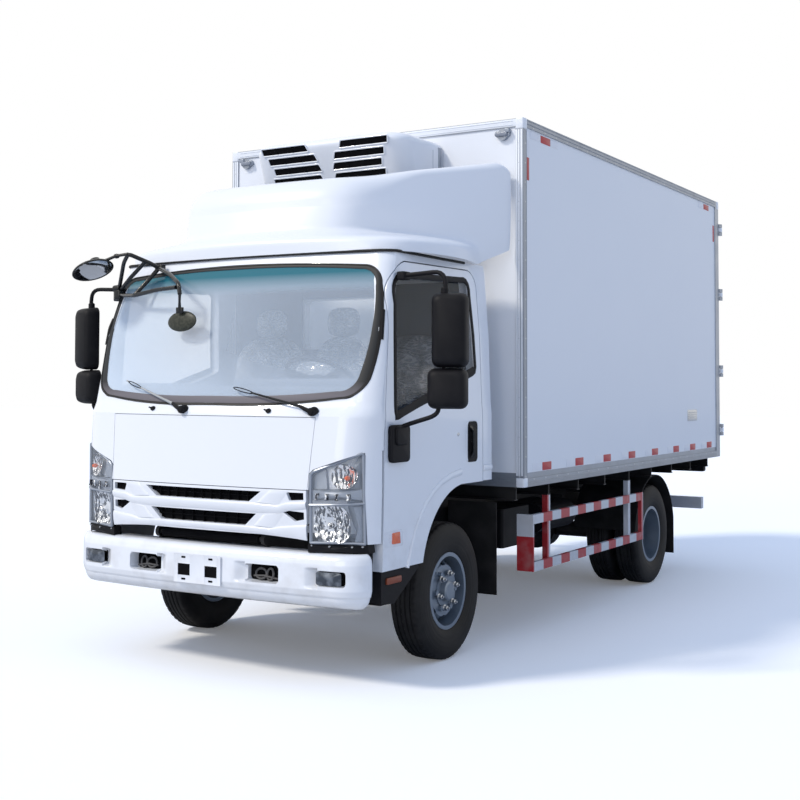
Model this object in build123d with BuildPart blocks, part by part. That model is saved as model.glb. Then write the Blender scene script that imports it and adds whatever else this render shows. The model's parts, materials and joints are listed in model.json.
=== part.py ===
"""Light refrigerated truck: tilting cab, ladder frame, insulated box and a front cooling unit.

Millimetres, +Z up, ground at Z = 0.  The truck faces -Y, and its own left side is +X.
The origin is on the ground, midway along the whole truck and midway across it.
"""
from build123d import *
from math import cos, radians, sin
import os

os.makedirs("parts", exist_ok=True)

# ---------------------------------------------------------------- driving dimensions
front_overhang = 1119        # front axle to the plate bracket on the bumper's face
wheelbase = 3360
rear_overhang = 1448         # rear axle to the hinge pins of the rear doors
overall_length = front_overhang + wheelbase + rear_overhang
front_axle_y = -overall_length / 2 + front_overhang
rear_axle_y = front_axle_y + wheelbase

tyre_radius = 389
tyre_width = 195
rim_flange_radius = 218
rim_width = 160
rim_barrel_radius = 196      # inside of the rim's barrel
front_track = 1680
twin_spacing = 230           # between the two tyre centres on one side
rear_track = 1542            # between the twin pairs' middles
kingpin_x = 735
stud_circle_radius = 111
stud_count = 6

rail_top = 780
rail_height = 190
rail_flange = 60
rail_outer_x = 375
rail_plate = 7
rail_front = -960            # stations are measured from the front axle, rearwards positive
rail_rear = 4640

pivot_station = -1010        # cab tilt axis
pivot_z = 745
pivot_pin_radius = 14
running_gap = 1              # radial gap of pins and bearings
seat_gap = 0.3               # between pieces that are bolted together

cab_half_width = 998
cab_wall = 60
cab_front_wall = 95
cab_skin = 40                # depth of the outer front mouldings
cab_rear = 405
cab_roof_z = 2310
shut_gap = 7                 # around the doors
door_front = -852
door_rear = 285
door_bottom = 604
door_hinge_x = 1001
door_hinge_station = -860

bumper_top = 705
bumper_bottom = 424

box_half_width = 1120
box_front = 598
box_rear = 4760
box_bottom = 945
box_top = 3205
box_wall = 80
box_floor_thickness = 110
wall_ledge = 24
rail_proud = 8               # how far the aluminium edge profiles stand out of the panels
edge_width = 52

rear_door_thickness = 78
rear_hinge_x = box_half_width + 8
rear_hinge_station = box_rear + 32
hinge_pin_radius = 9

unit_half_width = 562
unit_top = 3105
unit_bottom = 2700


# ---------------------------------------------------------------- helpers
def station(distance):
    """Y of a place, given by its distance behind the front axle."""
    return front_axle_y + distance


def across(distance):
    """Plane across the truck at a station; its normal points forwards."""
    return Plane.XZ.offset(-station(distance))


def lengthwise(x):
    """Plane along the truck at a distance x to its left; sketch X runs rearwards."""
    return Plane.YZ.offset(x)


def finish(part, name):
    """Label a piece and write it to its own file."""
    part.label = name
    export_step(part, f"parts/{name}.step")


# One horizontal outline of the cab or bumper: a shallow arc across the front,
# an arc round each corner, straight sides and a straight back.
def front_outline(front, corner_x, corner_y, half_width, side, back, inset=0, front_inset=None):
    nose = inset if front_inset is None else front_inset
    half = half_width - inset
    knee_x = corner_x - inset
    knee_y = station(corner_y + nose)
    flank = station(side + nose)
    bend_x = knee_x + 0.72 * (half - knee_x)
    bend_y = knee_y + 0.42 * (flank - knee_y)
    rear = station(back - inset)
    ThreePointArc((-knee_x, knee_y), (0, station(front + nose)), (knee_x, knee_y))
    ThreePointArc((knee_x, knee_y), (bend_x, bend_y), (half, flank))
    Line((half, flank), (half, rear))
    Line((half, rear), (-half, rear))
    Line((-half, rear), (-half, flank))
    ThreePointArc((-half, flank), (-bend_x, bend_y), (-knee_x, knee_y))


# columns: height, front station, corner x, corner station, half width, side station
cab_levels = [
    (590, -1080, 790, -1035, 990, -868),
    (1000, -1112, 790, -1058, cab_half_width, -868),
    (1400, -1078, 800, -1016, cab_half_width, -866),
    (1460, -1040, 850, -950, 992, -862),
    (1860, -925, 922, -828, 978, -778),
    (2225, -800, 858, -716, 950, -656),
    (2285, -768, 835, -690, 940, -630),
    (cab_roof_z, -700, 740, -612, 850, -560),
]
bumper_levels = [
    (bumper_bottom, -1078, 800, -1040, 968, -900),
    (520, -1115, 800, -1072, 988, -900),
    (650, -1113, 800, -1070, 988, -900),
    (bumper_top, -1096, 800, -1053, 982, -900),
]


def lofted(levels, back, inset=0, front_inset=None, roof_drop=0):
    """Solid through the outlines of a level table, each drawn in by the inset."""
    with BuildPart() as shape:
        for z, front, corner_x, corner_y, half_width, side in levels:
            drop = roof_drop if z == levels[-1][0] else 0
            with BuildSketch(Plane.XY.offset(z - drop)):
                with BuildLine():
                    front_outline(front, corner_x, corner_y, half_width, side, back,
                                  inset, front_inset)
                make_face()
        loft(ruled=True)
    return shape.part


# ---------------------------------------------------------------- ladder frame
crossmember_stations = [1080, 1700, 2500, 3000, 3760, 4590]
with BuildPart() as ladder_frame:
    for side in (-1, 1):
        with BuildSketch(across(rail_front)):
            with Locations((side * (rail_outer_x - rail_plate / 2), rail_top - rail_height / 2)):
                Rectangle(rail_plate, rail_height)
            for level in (rail_top - rail_plate / 2, rail_top - rail_height + rail_plate / 2):
                with Locations((side * (rail_outer_x - rail_flange / 2), level)):
                    Rectangle(rail_flange, rail_plate)
        extrude(amount=-(rail_rear - rail_front))
    # crossmembers: channels open to the rear, riveted between the webs
    for place in crossmember_stations:
        with BuildSketch(lengthwise(-rail_outer_x + rail_plate)):
            with Locations((station(place), rail_top - rail_height / 2)):
                Rectangle(60, 110)
                with Locations((rail_plate, 0)):
                    Rectangle(60, 110 - 2 * rail_plate, mode=Mode.SUBTRACT)
        extrude(amount=2 * (rail_outer_x - rail_plate))
    # front crossmember and the cab's tilt brackets with their pins
    with BuildSketch(lengthwise(-rail_outer_x + rail_plate)):
        with Locations((station(rail_front + 25), 640)):
            Rectangle(50, 80)
    extrude(amount=2 * (rail_outer_x - rail_plate))
    for side in (-1, 1):
        with BuildSketch(lengthwise(side * rail_outer_x)):
            with BuildLine():
                Polyline(
                    (station(rail_front + 90), rail_top),
                    (station(rail_front + 90), rail_top - rail_height),
                    (station(rail_front), rail_top - rail_height),
                    (station(pivot_station), pivot_z - 30),
                )
                ThreePointArc(
                    (station(pivot_station), pivot_z - 30),
                    (station(pivot_station - 30), pivot_z),
                    (station(pivot_station), pivot_z + 30),
                )
                Polyline(
                    (station(pivot_station), pivot_z + 30),
                    (station(rail_front), rail_top),
                    (station(rail_front + 90), rail_top),
                )
            make_face()
        extrude(amount=-side * 22)
        with BuildSketch(lengthwise(side * (rail_outer_x - 10))):
            with Locations((station(pivot_station), pivot_z)):
                Circle(pivot_pin_radius)
        extrude(amount=-side * 70)
finish(ladder_frame.part, "ladder_frame")

# ---------------------------------------------------------------- bearers under the box
bearer_stations = [640 + 497 * index for index in range(9)]
sill_height = 80
with BuildPart() as box_bearers:
    for side in (-1, 1):
        with Locations((side * (rail_outer_x - rail_flange / 2),
                        station((box_front + rail_rear) / 2 + 15),
                        rail_top + seat_gap + sill_height / 2)):
            Box(rail_flange, rail_rear - box_front - 30, sill_height)
    bearer_low = rail_top + seat_gap + sill_height
    bearer_height = box_bottom - seat_gap - bearer_low
    for place in bearer_stations:
        with BuildSketch(lengthwise(-box_half_width + 70)):
            with Locations((station(place), bearer_low + bearer_height / 2)):
                Rectangle(50, bearer_height)
                for face in (-1, 1):
                    with Locations((face * 16, 0)):
                        Rectangle(20, bearer_height - 14, mode=Mode.SUBTRACT)
        extrude(amount=2 * (box_half_width - 70))
finish(box_bearers.part, "box_bearers")

# ---------------------------------------------------------------- front axle and knuckles
axle_z = tyre_radius
beam_height = 85
with BuildPart() as front_axle:
    # drop-centre I beam: high at the kingpins, low under the engine
    with BuildSketch(Plane.XZ.offset(-front_axle_y)):
        with BuildLine():
            Polyline(
                (-kingpin_x, axle_z + 42), (-620, axle_z + 42), (-520, axle_z - 30),
                (520, axle_z - 30), (620, axle_z + 42), (kingpin_x, axle_z + 42),
                (kingpin_x, axle_z - 42), (620, axle_z - 42), (520, axle_z - 30 - beam_height),
                (-520, axle_z - 30 - beam_height), (-620, axle_z - 42),
                (-kingpin_x, axle_z - 42), (-kingpin_x, axle_z + 42),
            )
        make_face()
    extrude(amount=35, both=True)
    for face in (-1, 1):
        with BuildSketch(Plane.XZ.offset(-front_axle_y + face * 35)):
            with Locations((0, axle_z - 30 - beam_height / 2)):
                Rectangle(1000, beam_height - 34)
        extrude(amount=-face * 24, mode=Mode.SUBTRACT)
    for side in (-1, 1):
        with Locations((side * kingpin_x, front_axle_y, axle_z)):
            Cylinder(42, 84)
            Cylinder(19, 84, mode=Mode.SUBTRACT)
    # spring seats
    for side in (-1, 1):
        with Locations((side * (rail_outer_x - rail_flange / 2), front_axle_y, axle_z - 30)):
            Box(90, 110, 20, align=(Align.CENTER, Align.CENTER, Align.MIN))
finish(front_axle.part, "front_axle")

spindle_radius = 30
hub_x = front_track / 2          # middle of the front tyre
fork_gap = 3
for side, name in ((1, "steering_knuckle_left"), (-1, "steering_knuckle_right")):
    with BuildPart() as knuckle:
        with Locations((side * kingpin_x, front_axle_y, axle_z)):
            Cylinder(18, 200)
        for level in (-1, 1):
            with Locations((side * kingpin_x, front_axle_y, axle_z + level * (42 + fork_gap + 25))):
                Cylinder(36, 50)
        # fork cheek joining both eyes, outboard of the beam's end
        with Locations((side * (kingpin_x + 60), front_axle_y, axle_z)):
            Box(24, 110, 190)
        for level in (-1, 1):
            with Locations((side * (kingpin_x + 30), front_axle_y,
                            axle_z + level * (42 + fork_gap + 25))):
                Box(60, 66, 50)
        # stub axle
        with BuildSketch(lengthwise(side * (kingpin_x + 60))):
            with Locations((front_axle_y, axle_z)):
                Circle(spindle_radius)
        extrude(amount=side * 98)
        # steering arm, rearwards
        with Locations((side * (kingpin_x - 10), front_axle_y + 95, axle_z - 70)):
            Box(34, 190, 26)
    finish(knuckle.part, name)


# ---------------------------------------------------------------- wheels and tyres
def rim_barrel(middle):
    """Closed half profile of a rim's barrel about the axle, drawn at x = middle."""
    half = rim_width / 2
    Polyline(
        (middle - half, rim_barrel_radius), (middle - half, rim_flange_radius),
        (middle - half + 9, rim_flange_radius), (middle - half + 16, rim_barrel_radius + 12),
        (middle + half - 16, rim_barrel_radius + 12), (middle + half - 9, rim_flange_radius),
        (middle + half, rim_flange_radius), (middle + half, rim_barrel_radius),
        (middle - half, rim_barrel_radius),
    )


def tyre_outline(middle):
    """Closed half profile of a tyre about the axle, drawn at x = middle."""
    half = tyre_width / 2
    bead = rim_width / 2 - 3
    seat = rim_flange_radius + seat_gap
    shoulder = tyre_radius - 26
    Polyline((middle + bead, seat), (middle - bead, seat))
    ThreePointArc((middle - bead, seat), (middle - half, (seat + shoulder) / 2),
                  (middle - half + 8, shoulder))
    Line((middle - half + 8, shoulder), (middle - half + 26, tyre_radius - 3))
    Line((middle - half + 26, tyre_radius - 3), (middle, tyre_radius))
    Line((middle, tyre_radius), (middle + half - 26, tyre_radius - 3))
    Line((middle + half - 26, tyre_radius - 3), (middle + half - 8, shoulder))
    ThreePointArc((middle + half - 8, shoulder), (middle + half, (seat + shoulder) / 2),
                  (middle + bead, seat))


def spin_plane(side, wheel_y):
    """Sketch plane holding an axle: sketch X runs outboard, sketch Y upwards."""
    if side > 0:
        return Plane(origin=(0, wheel_y, axle_z), x_dir=(1, 0, 0), z_dir=(0, -1, 0))
    return Plane(origin=(0, wheel_y, axle_z), x_dir=(-1, 0, 0), z_dir=(0, 1, 0))


hub_bore = spindle_radius + running_gap
front_disc_x = hub_x + 28
hand_hole_radius = 22
for side, word in ((1, "left"), (-1, "right")):
    with BuildPart() as front_wheel:
        with BuildSketch(spin_plane(side, front_axle_y)):
            with BuildLine():
                rim_barrel(hub_x)
            make_face()
            # bulged disc with its flat stud ring
            with BuildLine():
                Polyline(
                    (front_disc_x - 50, rim_barrel_radius), (front_disc_x - 10, 172),
                    (front_disc_x + 22, 146), (front_disc_x + 22, 60),
                    (front_disc_x + 12, 60), (front_disc_x + 12, 141),
                    (front_disc_x - 20, 164), (front_disc_x - 66, rim_barrel_radius),
                    (front_disc_x - 50, rim_barrel_radius),
                )
            make_face()
        revolve(axis=Axis((0, front_axle_y, axle_z), (1, 0, 0)))
        # hub with its cap, and the brake drum behind the disc
        with BuildSketch(spin_plane(side, front_axle_y)):
            with BuildLine():
                Polyline(
                    (hub_x - 20, hub_bore), (hub_x - 20, 72), (front_disc_x + 12, 72),
                    (front_disc_x + 12, 92), (front_disc_x + 28, 92), (front_disc_x + 28, 60),
                    (front_disc_x + 58, 56), (front_disc_x + 66, 46), (front_disc_x + 66, 0),
                    (hub_x + 62, 0), (hub_x + 62, hub_bore), (hub_x - 20, hub_bore),
                )
            make_face()
            with BuildLine():
                Polyline(
                    (hub_x - 20, 72), (hub_x - 20, 150), (hub_x - 50, 158),
                    (hub_x - 50, 168), (hub_x - 10, 168), (hub_x - 8, 72), (hub_x - 20, 72),
                )
            make_face()
        revolve(axis=Axis((0, front_axle_y, axle_z), (1, 0, 0)))
        with BuildSketch(lengthwise(side * (front_disc_x + 70))):
            with Locations((front_axle_y, axle_z)):
                with PolarLocations(157, 8):
                    SlotOverall(46, 2 * hand_hole_radius - 12, rotation=90)
        extrude(amount=-side * 130, mode=Mode.SUBTRACT)
        with BuildSketch(lengthwise(side * (front_disc_x + 22))):
            with Locations((front_axle_y, axle_z)):
                with PolarLocations(stud_circle_radius, stud_count):
                    RegularPolygon(16, 6)
        extrude(amount=side * 20)
    finish(front_wheel.part, f"front_wheel_{word}")
    with BuildPart() as front_tyre:
        with BuildSketch(spin_plane(side, front_axle_y)):
            with BuildLine():
                tyre_outline(hub_x)
            make_face()
        revolve(axis=Axis((0, front_axle_y, axle_z), (1, 0, 0)))
    finish(front_tyre.part, f"front_tyre_{word}")

rear_spindle_radius = 44
rear_middle = rear_track / 2
inner_x = rear_middle - twin_spacing / 2
outer_x = rear_middle + twin_spacing / 2
for side, word in ((1, "left"), (-1, "right")):
    with BuildPart() as rear_wheel:
        with BuildSketch(spin_plane(side, rear_axle_y)):
            # both barrels; their dished discs meet back to back between them
            for middle, lean in ((inner_x, 1), (outer_x, -1)):
                with BuildLine():
                    rim_barrel(middle)
                make_face()
                with BuildLine():
                    Polyline(
                        (middle + lean * 56, rim_barrel_radius),
                        (middle + lean * 86, 172),
                        (rear_middle - lean * 10, 140), (rear_middle - lean * 10, 60),
                        (rear_middle, 60), (rear_middle, 150),
                        (middle + lean * 98, 182), (middle + lean * 72, rim_barrel_radius),
                        (middle + lean * 56, rim_barrel_radius),
                    )
                make_face()
        revolve(axis=Axis((0, rear_axle_y, axle_z), (1, 0, 0)))
        with BuildSketch(spin_plane(side, rear_axle_y)):
            with BuildLine():
                Polyline(
                    (inner_x + 10, rear_spindle_radius + running_gap), (inner_x + 10, 160),
                    (inner_x - 60, 160), (inner_x - 60, 172), (inner_x + 20, 172),
                    (inner_x + 20, 84), (rear_middle - 10, 84), (rear_middle - 10, 88),
                    (rear_middle + 10, 88), (rear_middle + 10, 80), (rear_middle + 95, 74),
                    (rear_middle + 108, 60), (rear_middle + 108, 0), (rear_middle + 90, 0),
                    (rear_middle + 90, rear_spindle_radius + running_gap),
                    (inner_x + 10, rear_spindle_radius + running_gap),
                )
            make_face()
        revolve(axis=Axis((0, rear_axle_y, axle_z), (1, 0, 0)))
        with BuildSketch(lengthwise(side * (rear_middle + 10))):
            with Locations((rear_axle_y, axle_z)):
                with PolarLocations(stud_circle_radius, stud_count):
                    RegularPolygon(16, 6)
        extrude(amount=side * 22)
    finish(rear_wheel.part, f"rear_wheels_{word}")
    with BuildPart() as rear_tyre:
        with BuildSketch(spin_plane(side, rear_axle_y)):
            for middle in (inner_x, outer_x):
                with BuildLine():
                    tyre_outline(middle)
                make_face()
        revolve(axis=Axis((0, rear_axle_y, axle_z), (1, 0, 0)))
    finish(rear_tyre.part, f"rear_tyres_{word}")

# ---------------------------------------------------------------- rear axle
rear_spring_x = 445
axle_tube_radius = 62
with BuildPart() as rear_axle:
    with BuildSketch(spin_plane(1, rear_axle_y)):
        with BuildLine():
            Polyline(
                (-rear_middle - 85, 0), (-rear_middle - 85, rear_spindle_radius),
                (-inner_x + 14, rear_spindle_radius), (-inner_x + 14, axle_tube_radius),
                (inner_x - 14, axle_tube_radius), (inner_x - 14, rear_spindle_radius),
                (rear_middle + 85, rear_spindle_radius), (rear_middle + 85, 0),
                (-rear_middle - 85, 0),
            )
        make_face()
    revolve(axis=Axis((0, rear_axle_y, axle_z), (1, 0, 0)))
    # differential ring with its rear cover and its nose, all turned about one fore and aft line
    bowl = Plane(origin=(0, rear_axle_y, axle_z), x_dir=(1, 0, 0), z_dir=(0, 0, 1))
    with BuildSketch(bowl):
        with BuildLine():
            Polyline(
                (0, 150), (110, 140), (158, 95), (172, 70), (172, -80), (120, -130), (84, -250),
                (0, -250), (0, 150),
            )
        make_face()
    revolve(axis=Axis((0, rear_axle_y, axle_z), (0, 1, 0)))
    for side in (-1, 1):
        with Locations((side * rear_spring_x, rear_axle_y, axle_z + axle_tube_radius - 12)):
            Box(84, 120, 24, align=(Align.CENTER, Align.CENTER, Align.MIN))
finish(rear_axle.part, "rear_axle")

# ---------------------------------------------------------------- leaf springs
# columns: half length, number of the leaf from the top
leaf_thickness = 13
leaf_width = 70
with BuildPart() as leaf_springs:
    for side in (-1, 1):
        # front: shackled to the rails' undersides, resting on the axle's seats
        low = axle_z - 10 + seat_gap
        eye = rail_top - rail_height - seat_gap
        x = side * (rail_outer_x - rail_flange / 2)
        with BuildSketch(lengthwise(x)):
            with BuildLine():
                Polyline(
                    (front_axle_y - 600, eye), (front_axle_y - 600, eye - 70),
                    (front_axle_y - 560, eye - 84), (front_axle_y - 420, eye - 120),
                    (front_axle_y - 60, low), (front_axle_y + 60, low),
                    (front_axle_y + 420, eye - 120), (front_axle_y + 560, eye - 84),
                    (front_axle_y + 600, eye - 70), (front_axle_y + 600, eye),
                    (front_axle_y + 570, eye), (front_axle_y + 560, eye - 60),
                    (front_axle_y + 60, low + 4 * leaf_thickness),
                    (front_axle_y - 60, low + 4 * leaf_thickness),
                    (front_axle_y - 560, eye - 60), (front_axle_y - 570, eye),
                    (front_axle_y - 600, eye),
                )
            make_face()
        extrude(amount=leaf_width / 2 - 5, both=True)
        # rear: outboard of the rails, hung from brackets bolted to the webs
        low = axle_z + axle_tube_radius + 12 + seat_gap
        with BuildSketch(lengthwise(side * rear_spring_x)):
            with BuildLine():
                Polyline(
                    (rear_axle_y - 640, rail_top - 60), (rear_axle_y - 640, 560),
                    (rear_axle_y - 590, 545), (rear_axle_y - 60, low),
                    (rear_axle_y + 60, low), (rear_axle_y + 590, 545),
                    (rear_axle_y + 640, 560), (rear_axle_y + 640, rail_top - 60),
                    (rear_axle_y + 590, rail_top - 60), (rear_axle_y + 590, 600),
                    (rear_axle_y + 60, low + 6 * leaf_thickness),
                    (rear_axle_y - 60, low + 6 * leaf_thickness),
                    (rear_axle_y - 590, 600), (rear_axle_y - 590, rail_top - 60),
                    (rear_axle_y - 640, rail_top - 60),
                )
            make_face()
        extrude(amount=leaf_width / 2, both=True)
        for end in (-615, 615):
            with Locations((side * (rail_outer_x + seat_gap + 18), rear_axle_y + end,
                            rail_top - 90)):
                Box(36, 50, 60)
finish(leaf_springs.part, "leaf_springs")

# ---------------------------------------------------------------- engine, gearbox, propshaft
engine_front = -395
engine_rear = 330
engine_top = 985
gearbox_rear = 960
with BuildPart() as driveline:
    with Locations((0, station((engine_front + engine_rear) / 2), (450 + engine_top) / 2)):
        Box(500, engine_rear - engine_front, engine_top - 450)
    # engine feet inside the rails
    with Locations((0, station(-200), 670)):
        Box(2 * (rail_outer_x - rail_plate - seat_gap), 110, 60)
    with BuildSketch(across(engine_rear)):
        with Locations((0, 600)):
            Rectangle(400, 330)
    extrude(amount=-(gearbox_rear - engine_rear), taper=8)
    # propshaft, sloping down to the rear axle
    shaft_start = Vector(0, station(gearbox_rear - 20), 560)
    shaft_end = Vector(0, rear_axle_y - 258, axle_z)
    with BuildSketch(Plane(origin=shaft_start, z_dir=shaft_end - shaft_start)):
        Circle(40)
    extrude(amount=(shaft_end - shaft_start).length)
    # radiator behind the grille, between the rails
    with Locations((0, station(-800), 640)):
        Box(2 * (rail_outer_x - rail_flange - seat_gap), 60, 280)
    with Locations((0, station(-735), 640)):
        Cylinder(145, 70, rotation=(90, 0, 0))
        Cylinder(30, 345, rotation=(-90, 0, 0), align=(Align.CENTER, Align.CENTER, Align.MIN))
finish(driveline.part, "driveline")

# ---------------------------------------------------------------- tank, battery box, guards
guard_x = 1062
with BuildPart() as fuel_tank:
    tank_centre = station(1560)
    with BuildSketch(Plane.YZ.offset(-1000)):
        with Locations((tank_centre, 590)):
            RectangleRounded(900, 360, 60)
    extrude(amount=520)
    # straps to the right-hand rail
    for place in (-280, 280):
        with Locations((-(rail_outer_x + seat_gap), tank_centre + place, 685)):
            Box(480 - rail_outer_x - seat_gap + 6, 44, 150,
                align=(Align.MAX, Align.CENTER, Align.CENTER))
    with Locations((-960, tank_centre - 330, 770)):
        Cylinder(45, 50)
finish(fuel_tank.part, "fuel_tank")

with BuildPart() as battery_box:
    box_centre = station(1180)
    with Locations((620, box_centre, 640)):
        Box(360, 420, 250)
        fillet(battery_box.edges().filter_by(Axis.Z), 20)
    with Locations((rail_outer_x + seat_gap, box_centre, 690)):
        Box(440 - rail_outer_x - seat_gap + 6, 300, 60,
            align=(Align.MIN, Align.CENTER, Align.CENTER))
    # air tanks in a row behind it, under the left-hand rail's side
    for x in (500, 720):
        with Locations((x, box_centre + 700, 650)):
            Cylinder(100, 560, rotation=(90, 0, 0))
    for place in (500, 900):
        with Locations((rail_outer_x + seat_gap, box_centre + place, 690)):
            Box(760 - rail_outer_x, 40, 30, align=(Align.MIN, Align.CENTER, Align.CENTER))
finish(battery_box.part, "battery_box")

# side guards: two rails on posts hung from the bearers, and the rear bar
guard_front = 835
guard_rear = 2860
guard_low = 405
guard_high = 758
guard_rail_height = 58
guard_thickness = 26
with BuildPart() as underrun_guards:
    for side in (-1, 1):
        for level in (guard_low + guard_rail_height / 2, guard_high - guard_rail_height / 2):
            with Locations((side * guard_x, station((guard_front + guard_rear) / 2), level)):
                Box(guard_thickness, guard_rear - guard_front, guard_rail_height)
        # wide plate facing forwards on the front end, a narrow post on the rear end
        with Locations((side * (guard_x + guard_thickness / 2), station(guard_front),
                        (guard_low + guard_high) / 2)):
            Box(112, 14, guard_high - guard_low,
                align=(Align.MAX if side > 0 else Align.MIN, Align.MIN, Align.CENTER))
        with Locations((side * guard_x, station(guard_rear - 20), (guard_low + guard_high) / 2)):
            Box(guard_thickness, 40, guard_high - guard_low)
        for place in (bearer_stations[1], bearer_stations[4]):
            with Locations((side * (guard_x - guard_thickness / 2), station(place), guard_low)):
                Box(36, 46, bearer_low - seat_gap - guard_low,
                    align=(Align.MAX if side > 0 else Align.MIN, Align.CENTER, Align.MIN))
    # rear underrun bar on two hangers bolted to the rails
    with Locations((0, station(rail_rear - 20), 540)):
        Box(2000, 60, 100)
    for side in (-1, 1):
        with Locations((side * (rail_outer_x + seat_gap), station(rail_rear - 40), 640)):
            Box(12, 100, 260, align=(Align.MIN if side > 0 else Align.MAX, Align.CENTER, Align.CENTER))
finish(underrun_guards.part, "underrun_guards")

# mudguards: quarter shells behind the front wheels, arches over the twins, with flaps
rear_arch_radius = 470
with BuildPart() as mudguards:
    for side in (-1, 1):
        with BuildSketch(lengthwise(side * 500)):
            with BuildLine():
                arch_start = (rear_axle_y - rear_arch_radius * cos(radians(8)),
                              axle_z + rear_arch_radius * sin(radians(8)))
                arch_top = (rear_axle_y, axle_z + rear_arch_radius)
                arch_end = (rear_axle_y + rear_arch_radius * cos(radians(12)),
                            axle_z + rear_arch_radius * sin(radians(12)))
                ThreePointArc(arch_start, arch_top, arch_end)
                Line(arch_end, (arch_end[0], 190))
                Line((arch_end[0], 190), (arch_end[0] - 8, 190))
                Line((arch_end[0] - 8, 190), (arch_end[0] - 8, arch_end[1]))
                ThreePointArc((arch_end[0] - 8, arch_end[1]), (rear_axle_y, arch_top[1] - 8),
                              (arch_start[0] + 8, arch_start[1]))
                Line((arch_start[0] + 8, arch_start[1]), arch_start)
            make_face()
        extrude(amount=side * 500)
        # stays from the rails to the arches
        for place in (-300, 300):
            with Locations((side * (rail_outer_x + seat_gap), rear_axle_y + place, 730)):
                Cylinder(14, 640 - rail_outer_x, rotation=(0, side * 90, 0),
                         align=(Align.CENTER, Align.CENTER, Align.MIN))
        # flap behind the front wheel on its own stay
        with Locations((side * 790, station(560), 570)):
            Box(330, 8, 560)
        with Locations((side * (rail_outer_x + seat_gap), station(560), 700)):
            Cylinder(14, 640 - rail_outer_x, rotation=(0, side * 90, 0),
                     align=(Align.CENTER, Align.CENTER, Align.MIN))
finish(mudguards.part, "mudguards")

# ---------------------------------------------------------------- bumper
bumper_back = -868
plate_hole_spacing = 210
plate_hole_radius = 3.5
bumper_outer = lofted(bumper_levels, bumper_back)
bumper_inner = lofted(bumper_levels, bumper_back + 200, inset=14, front_inset=70)
with BuildPart() as bumper:
    add(bumper_outer)
    add(bumper_inner, mode=Mode.SUBTRACT)
    # towing and air openings, and the fog lamps' pockets
    for side in (-1, 1):
        with BuildSketch(across(-1200)):
            with Locations((side * 390, 568)):
                SlotOverall(215, 66)
        extrude(amount=-160, mode=Mode.SUBTRACT)
        with BuildSketch(across(-1200)):
            with Locations((side * 800, 590)):
                RectangleRounded(190, 62, 22)
        extrude(amount=-140, mode=Mode.SUBTRACT)
        with Locations((side * 798, station(-1056), 590)):
            Box(170, 40, 50)
    # blank number plate's bracket and the arms back to the rails
    with Locations((0, station(-front_overhang), 575)):
        Box(330, 12, 130, align=(Align.CENTER, Align.MIN, Align.CENTER))
    with Locations((-plate_hole_spacing / 2, station(-front_overhang), 575),
                   (plate_hole_spacing / 2, station(-front_overhang), 575)):
        Cylinder(plate_hole_radius, 20, rotation=(90, 0, 0), mode=Mode.SUBTRACT)
    for side in (-1, 1):
        with Locations((side * 240, station(-1050), 600)):
            Box(60, 30, 110)
        with Locations((side * 240, station(rail_front - seat_gap), 640)):
            Box(60, 85, 60, align=(Align.CENTER, Align.MAX, Align.CENTER))
finish(bumper.part, "bumper")

# ---------------------------------------------------------------- cab shell
floor_low = 800
floor_high = 840
deck_low = 1003
deck_high = 1043
riser_station = -440
roof_thickness = 60
cab_outer = lofted(cab_levels, cab_rear)
cab_inner = lofted(cab_levels, cab_rear, cab_wall, cab_front_wall, roof_thickness)
cab_mouldings = lofted(cab_levels, cab_rear, cab_wall, cab_skin, roof_thickness)
arch_top_point = (20, deck_low - 3)
arch_foot_point = (-425, door_bottom)


def door_outline():
    """Front, top and rear shut lines of a door, its wheel arch edge and its sill."""
    Line((station(door_front), door_bottom), (station(-846), 1280))
    Line((station(-846), 1280), (station(-756), 1985))
    ThreePointArc((station(-756), 1985), (station(-690), 2150), (station(-560), 2226))
    Line((station(-560), 2226), (station(160), 2236))
    ThreePointArc((station(160), 2236), (station(245), 2205), (station(278), 2110))
    Line((station(278), 2110), (station(door_rear), arch_top_point[1]))
    Line((station(door_rear), arch_top_point[1]), (station(20), arch_top_point[1]))
    ThreePointArc((station(20), arch_top_point[1]), (station(-285), 858),
                  (station(arch_foot_point[0]), door_bottom))
    Line((station(arch_foot_point[0]), door_bottom), (station(door_front), door_bottom))


def side_window_outline():
    """Door window: low in front, with a sill that rises to the rear."""
    FilletPolyline(
        (station(-728), 1380), (station(-708), 1860), (station(-668), 2150),
        (station(172), 2182), (station(214), 1648), radius=34, close=True,
    )


def windscreen_outline(gap=0):
    """Front view of the windscreen's opening, bowed out at both sides, drawn in by the gap."""
    low, high, side = 1464 + gap, 2236 - gap, 914 - gap
    foot_x, foot_z = 815 - gap, 1490 + gap
    head_x, head_z = 795 - gap, 2205 - gap
    lower_x, lower_z = 898 - gap, 1556 + gap
    upper_x, upper_z = 872 - gap, 2120 - gap
    ThreePointArc((-foot_x, foot_z), (0, low), (foot_x, foot_z))
    ThreePointArc((foot_x, foot_z), (868 - gap, 1507 + gap), (lower_x, lower_z))
    ThreePointArc((lower_x, lower_z), (side, 1850), (upper_x, upper_z))
    ThreePointArc((upper_x, upper_z), (850 - gap, 2182 - gap), (head_x, head_z))
    ThreePointArc((head_x, head_z), (0, high), (-head_x, head_z))
    ThreePointArc((-head_x, head_z), (gap - 850, 2182 - gap), (-upper_x, upper_z))
    ThreePointArc((-upper_x, upper_z), (-side, 1850), (-lower_x, lower_z))
    ThreePointArc((-lower_x, lower_z), (gap - 868, 1507 + gap), (-foot_x, foot_z))


rear_window_size = (640, 310)
rear_window_z = 1955
panel_low_half = 668         # the service panel's half width along its lower and upper edges
panel_high_half = 692
panel_low = 1024
panel_high = 1393
lamp_split_x = 676
grille_low = 782
lamp_low = 762


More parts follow.
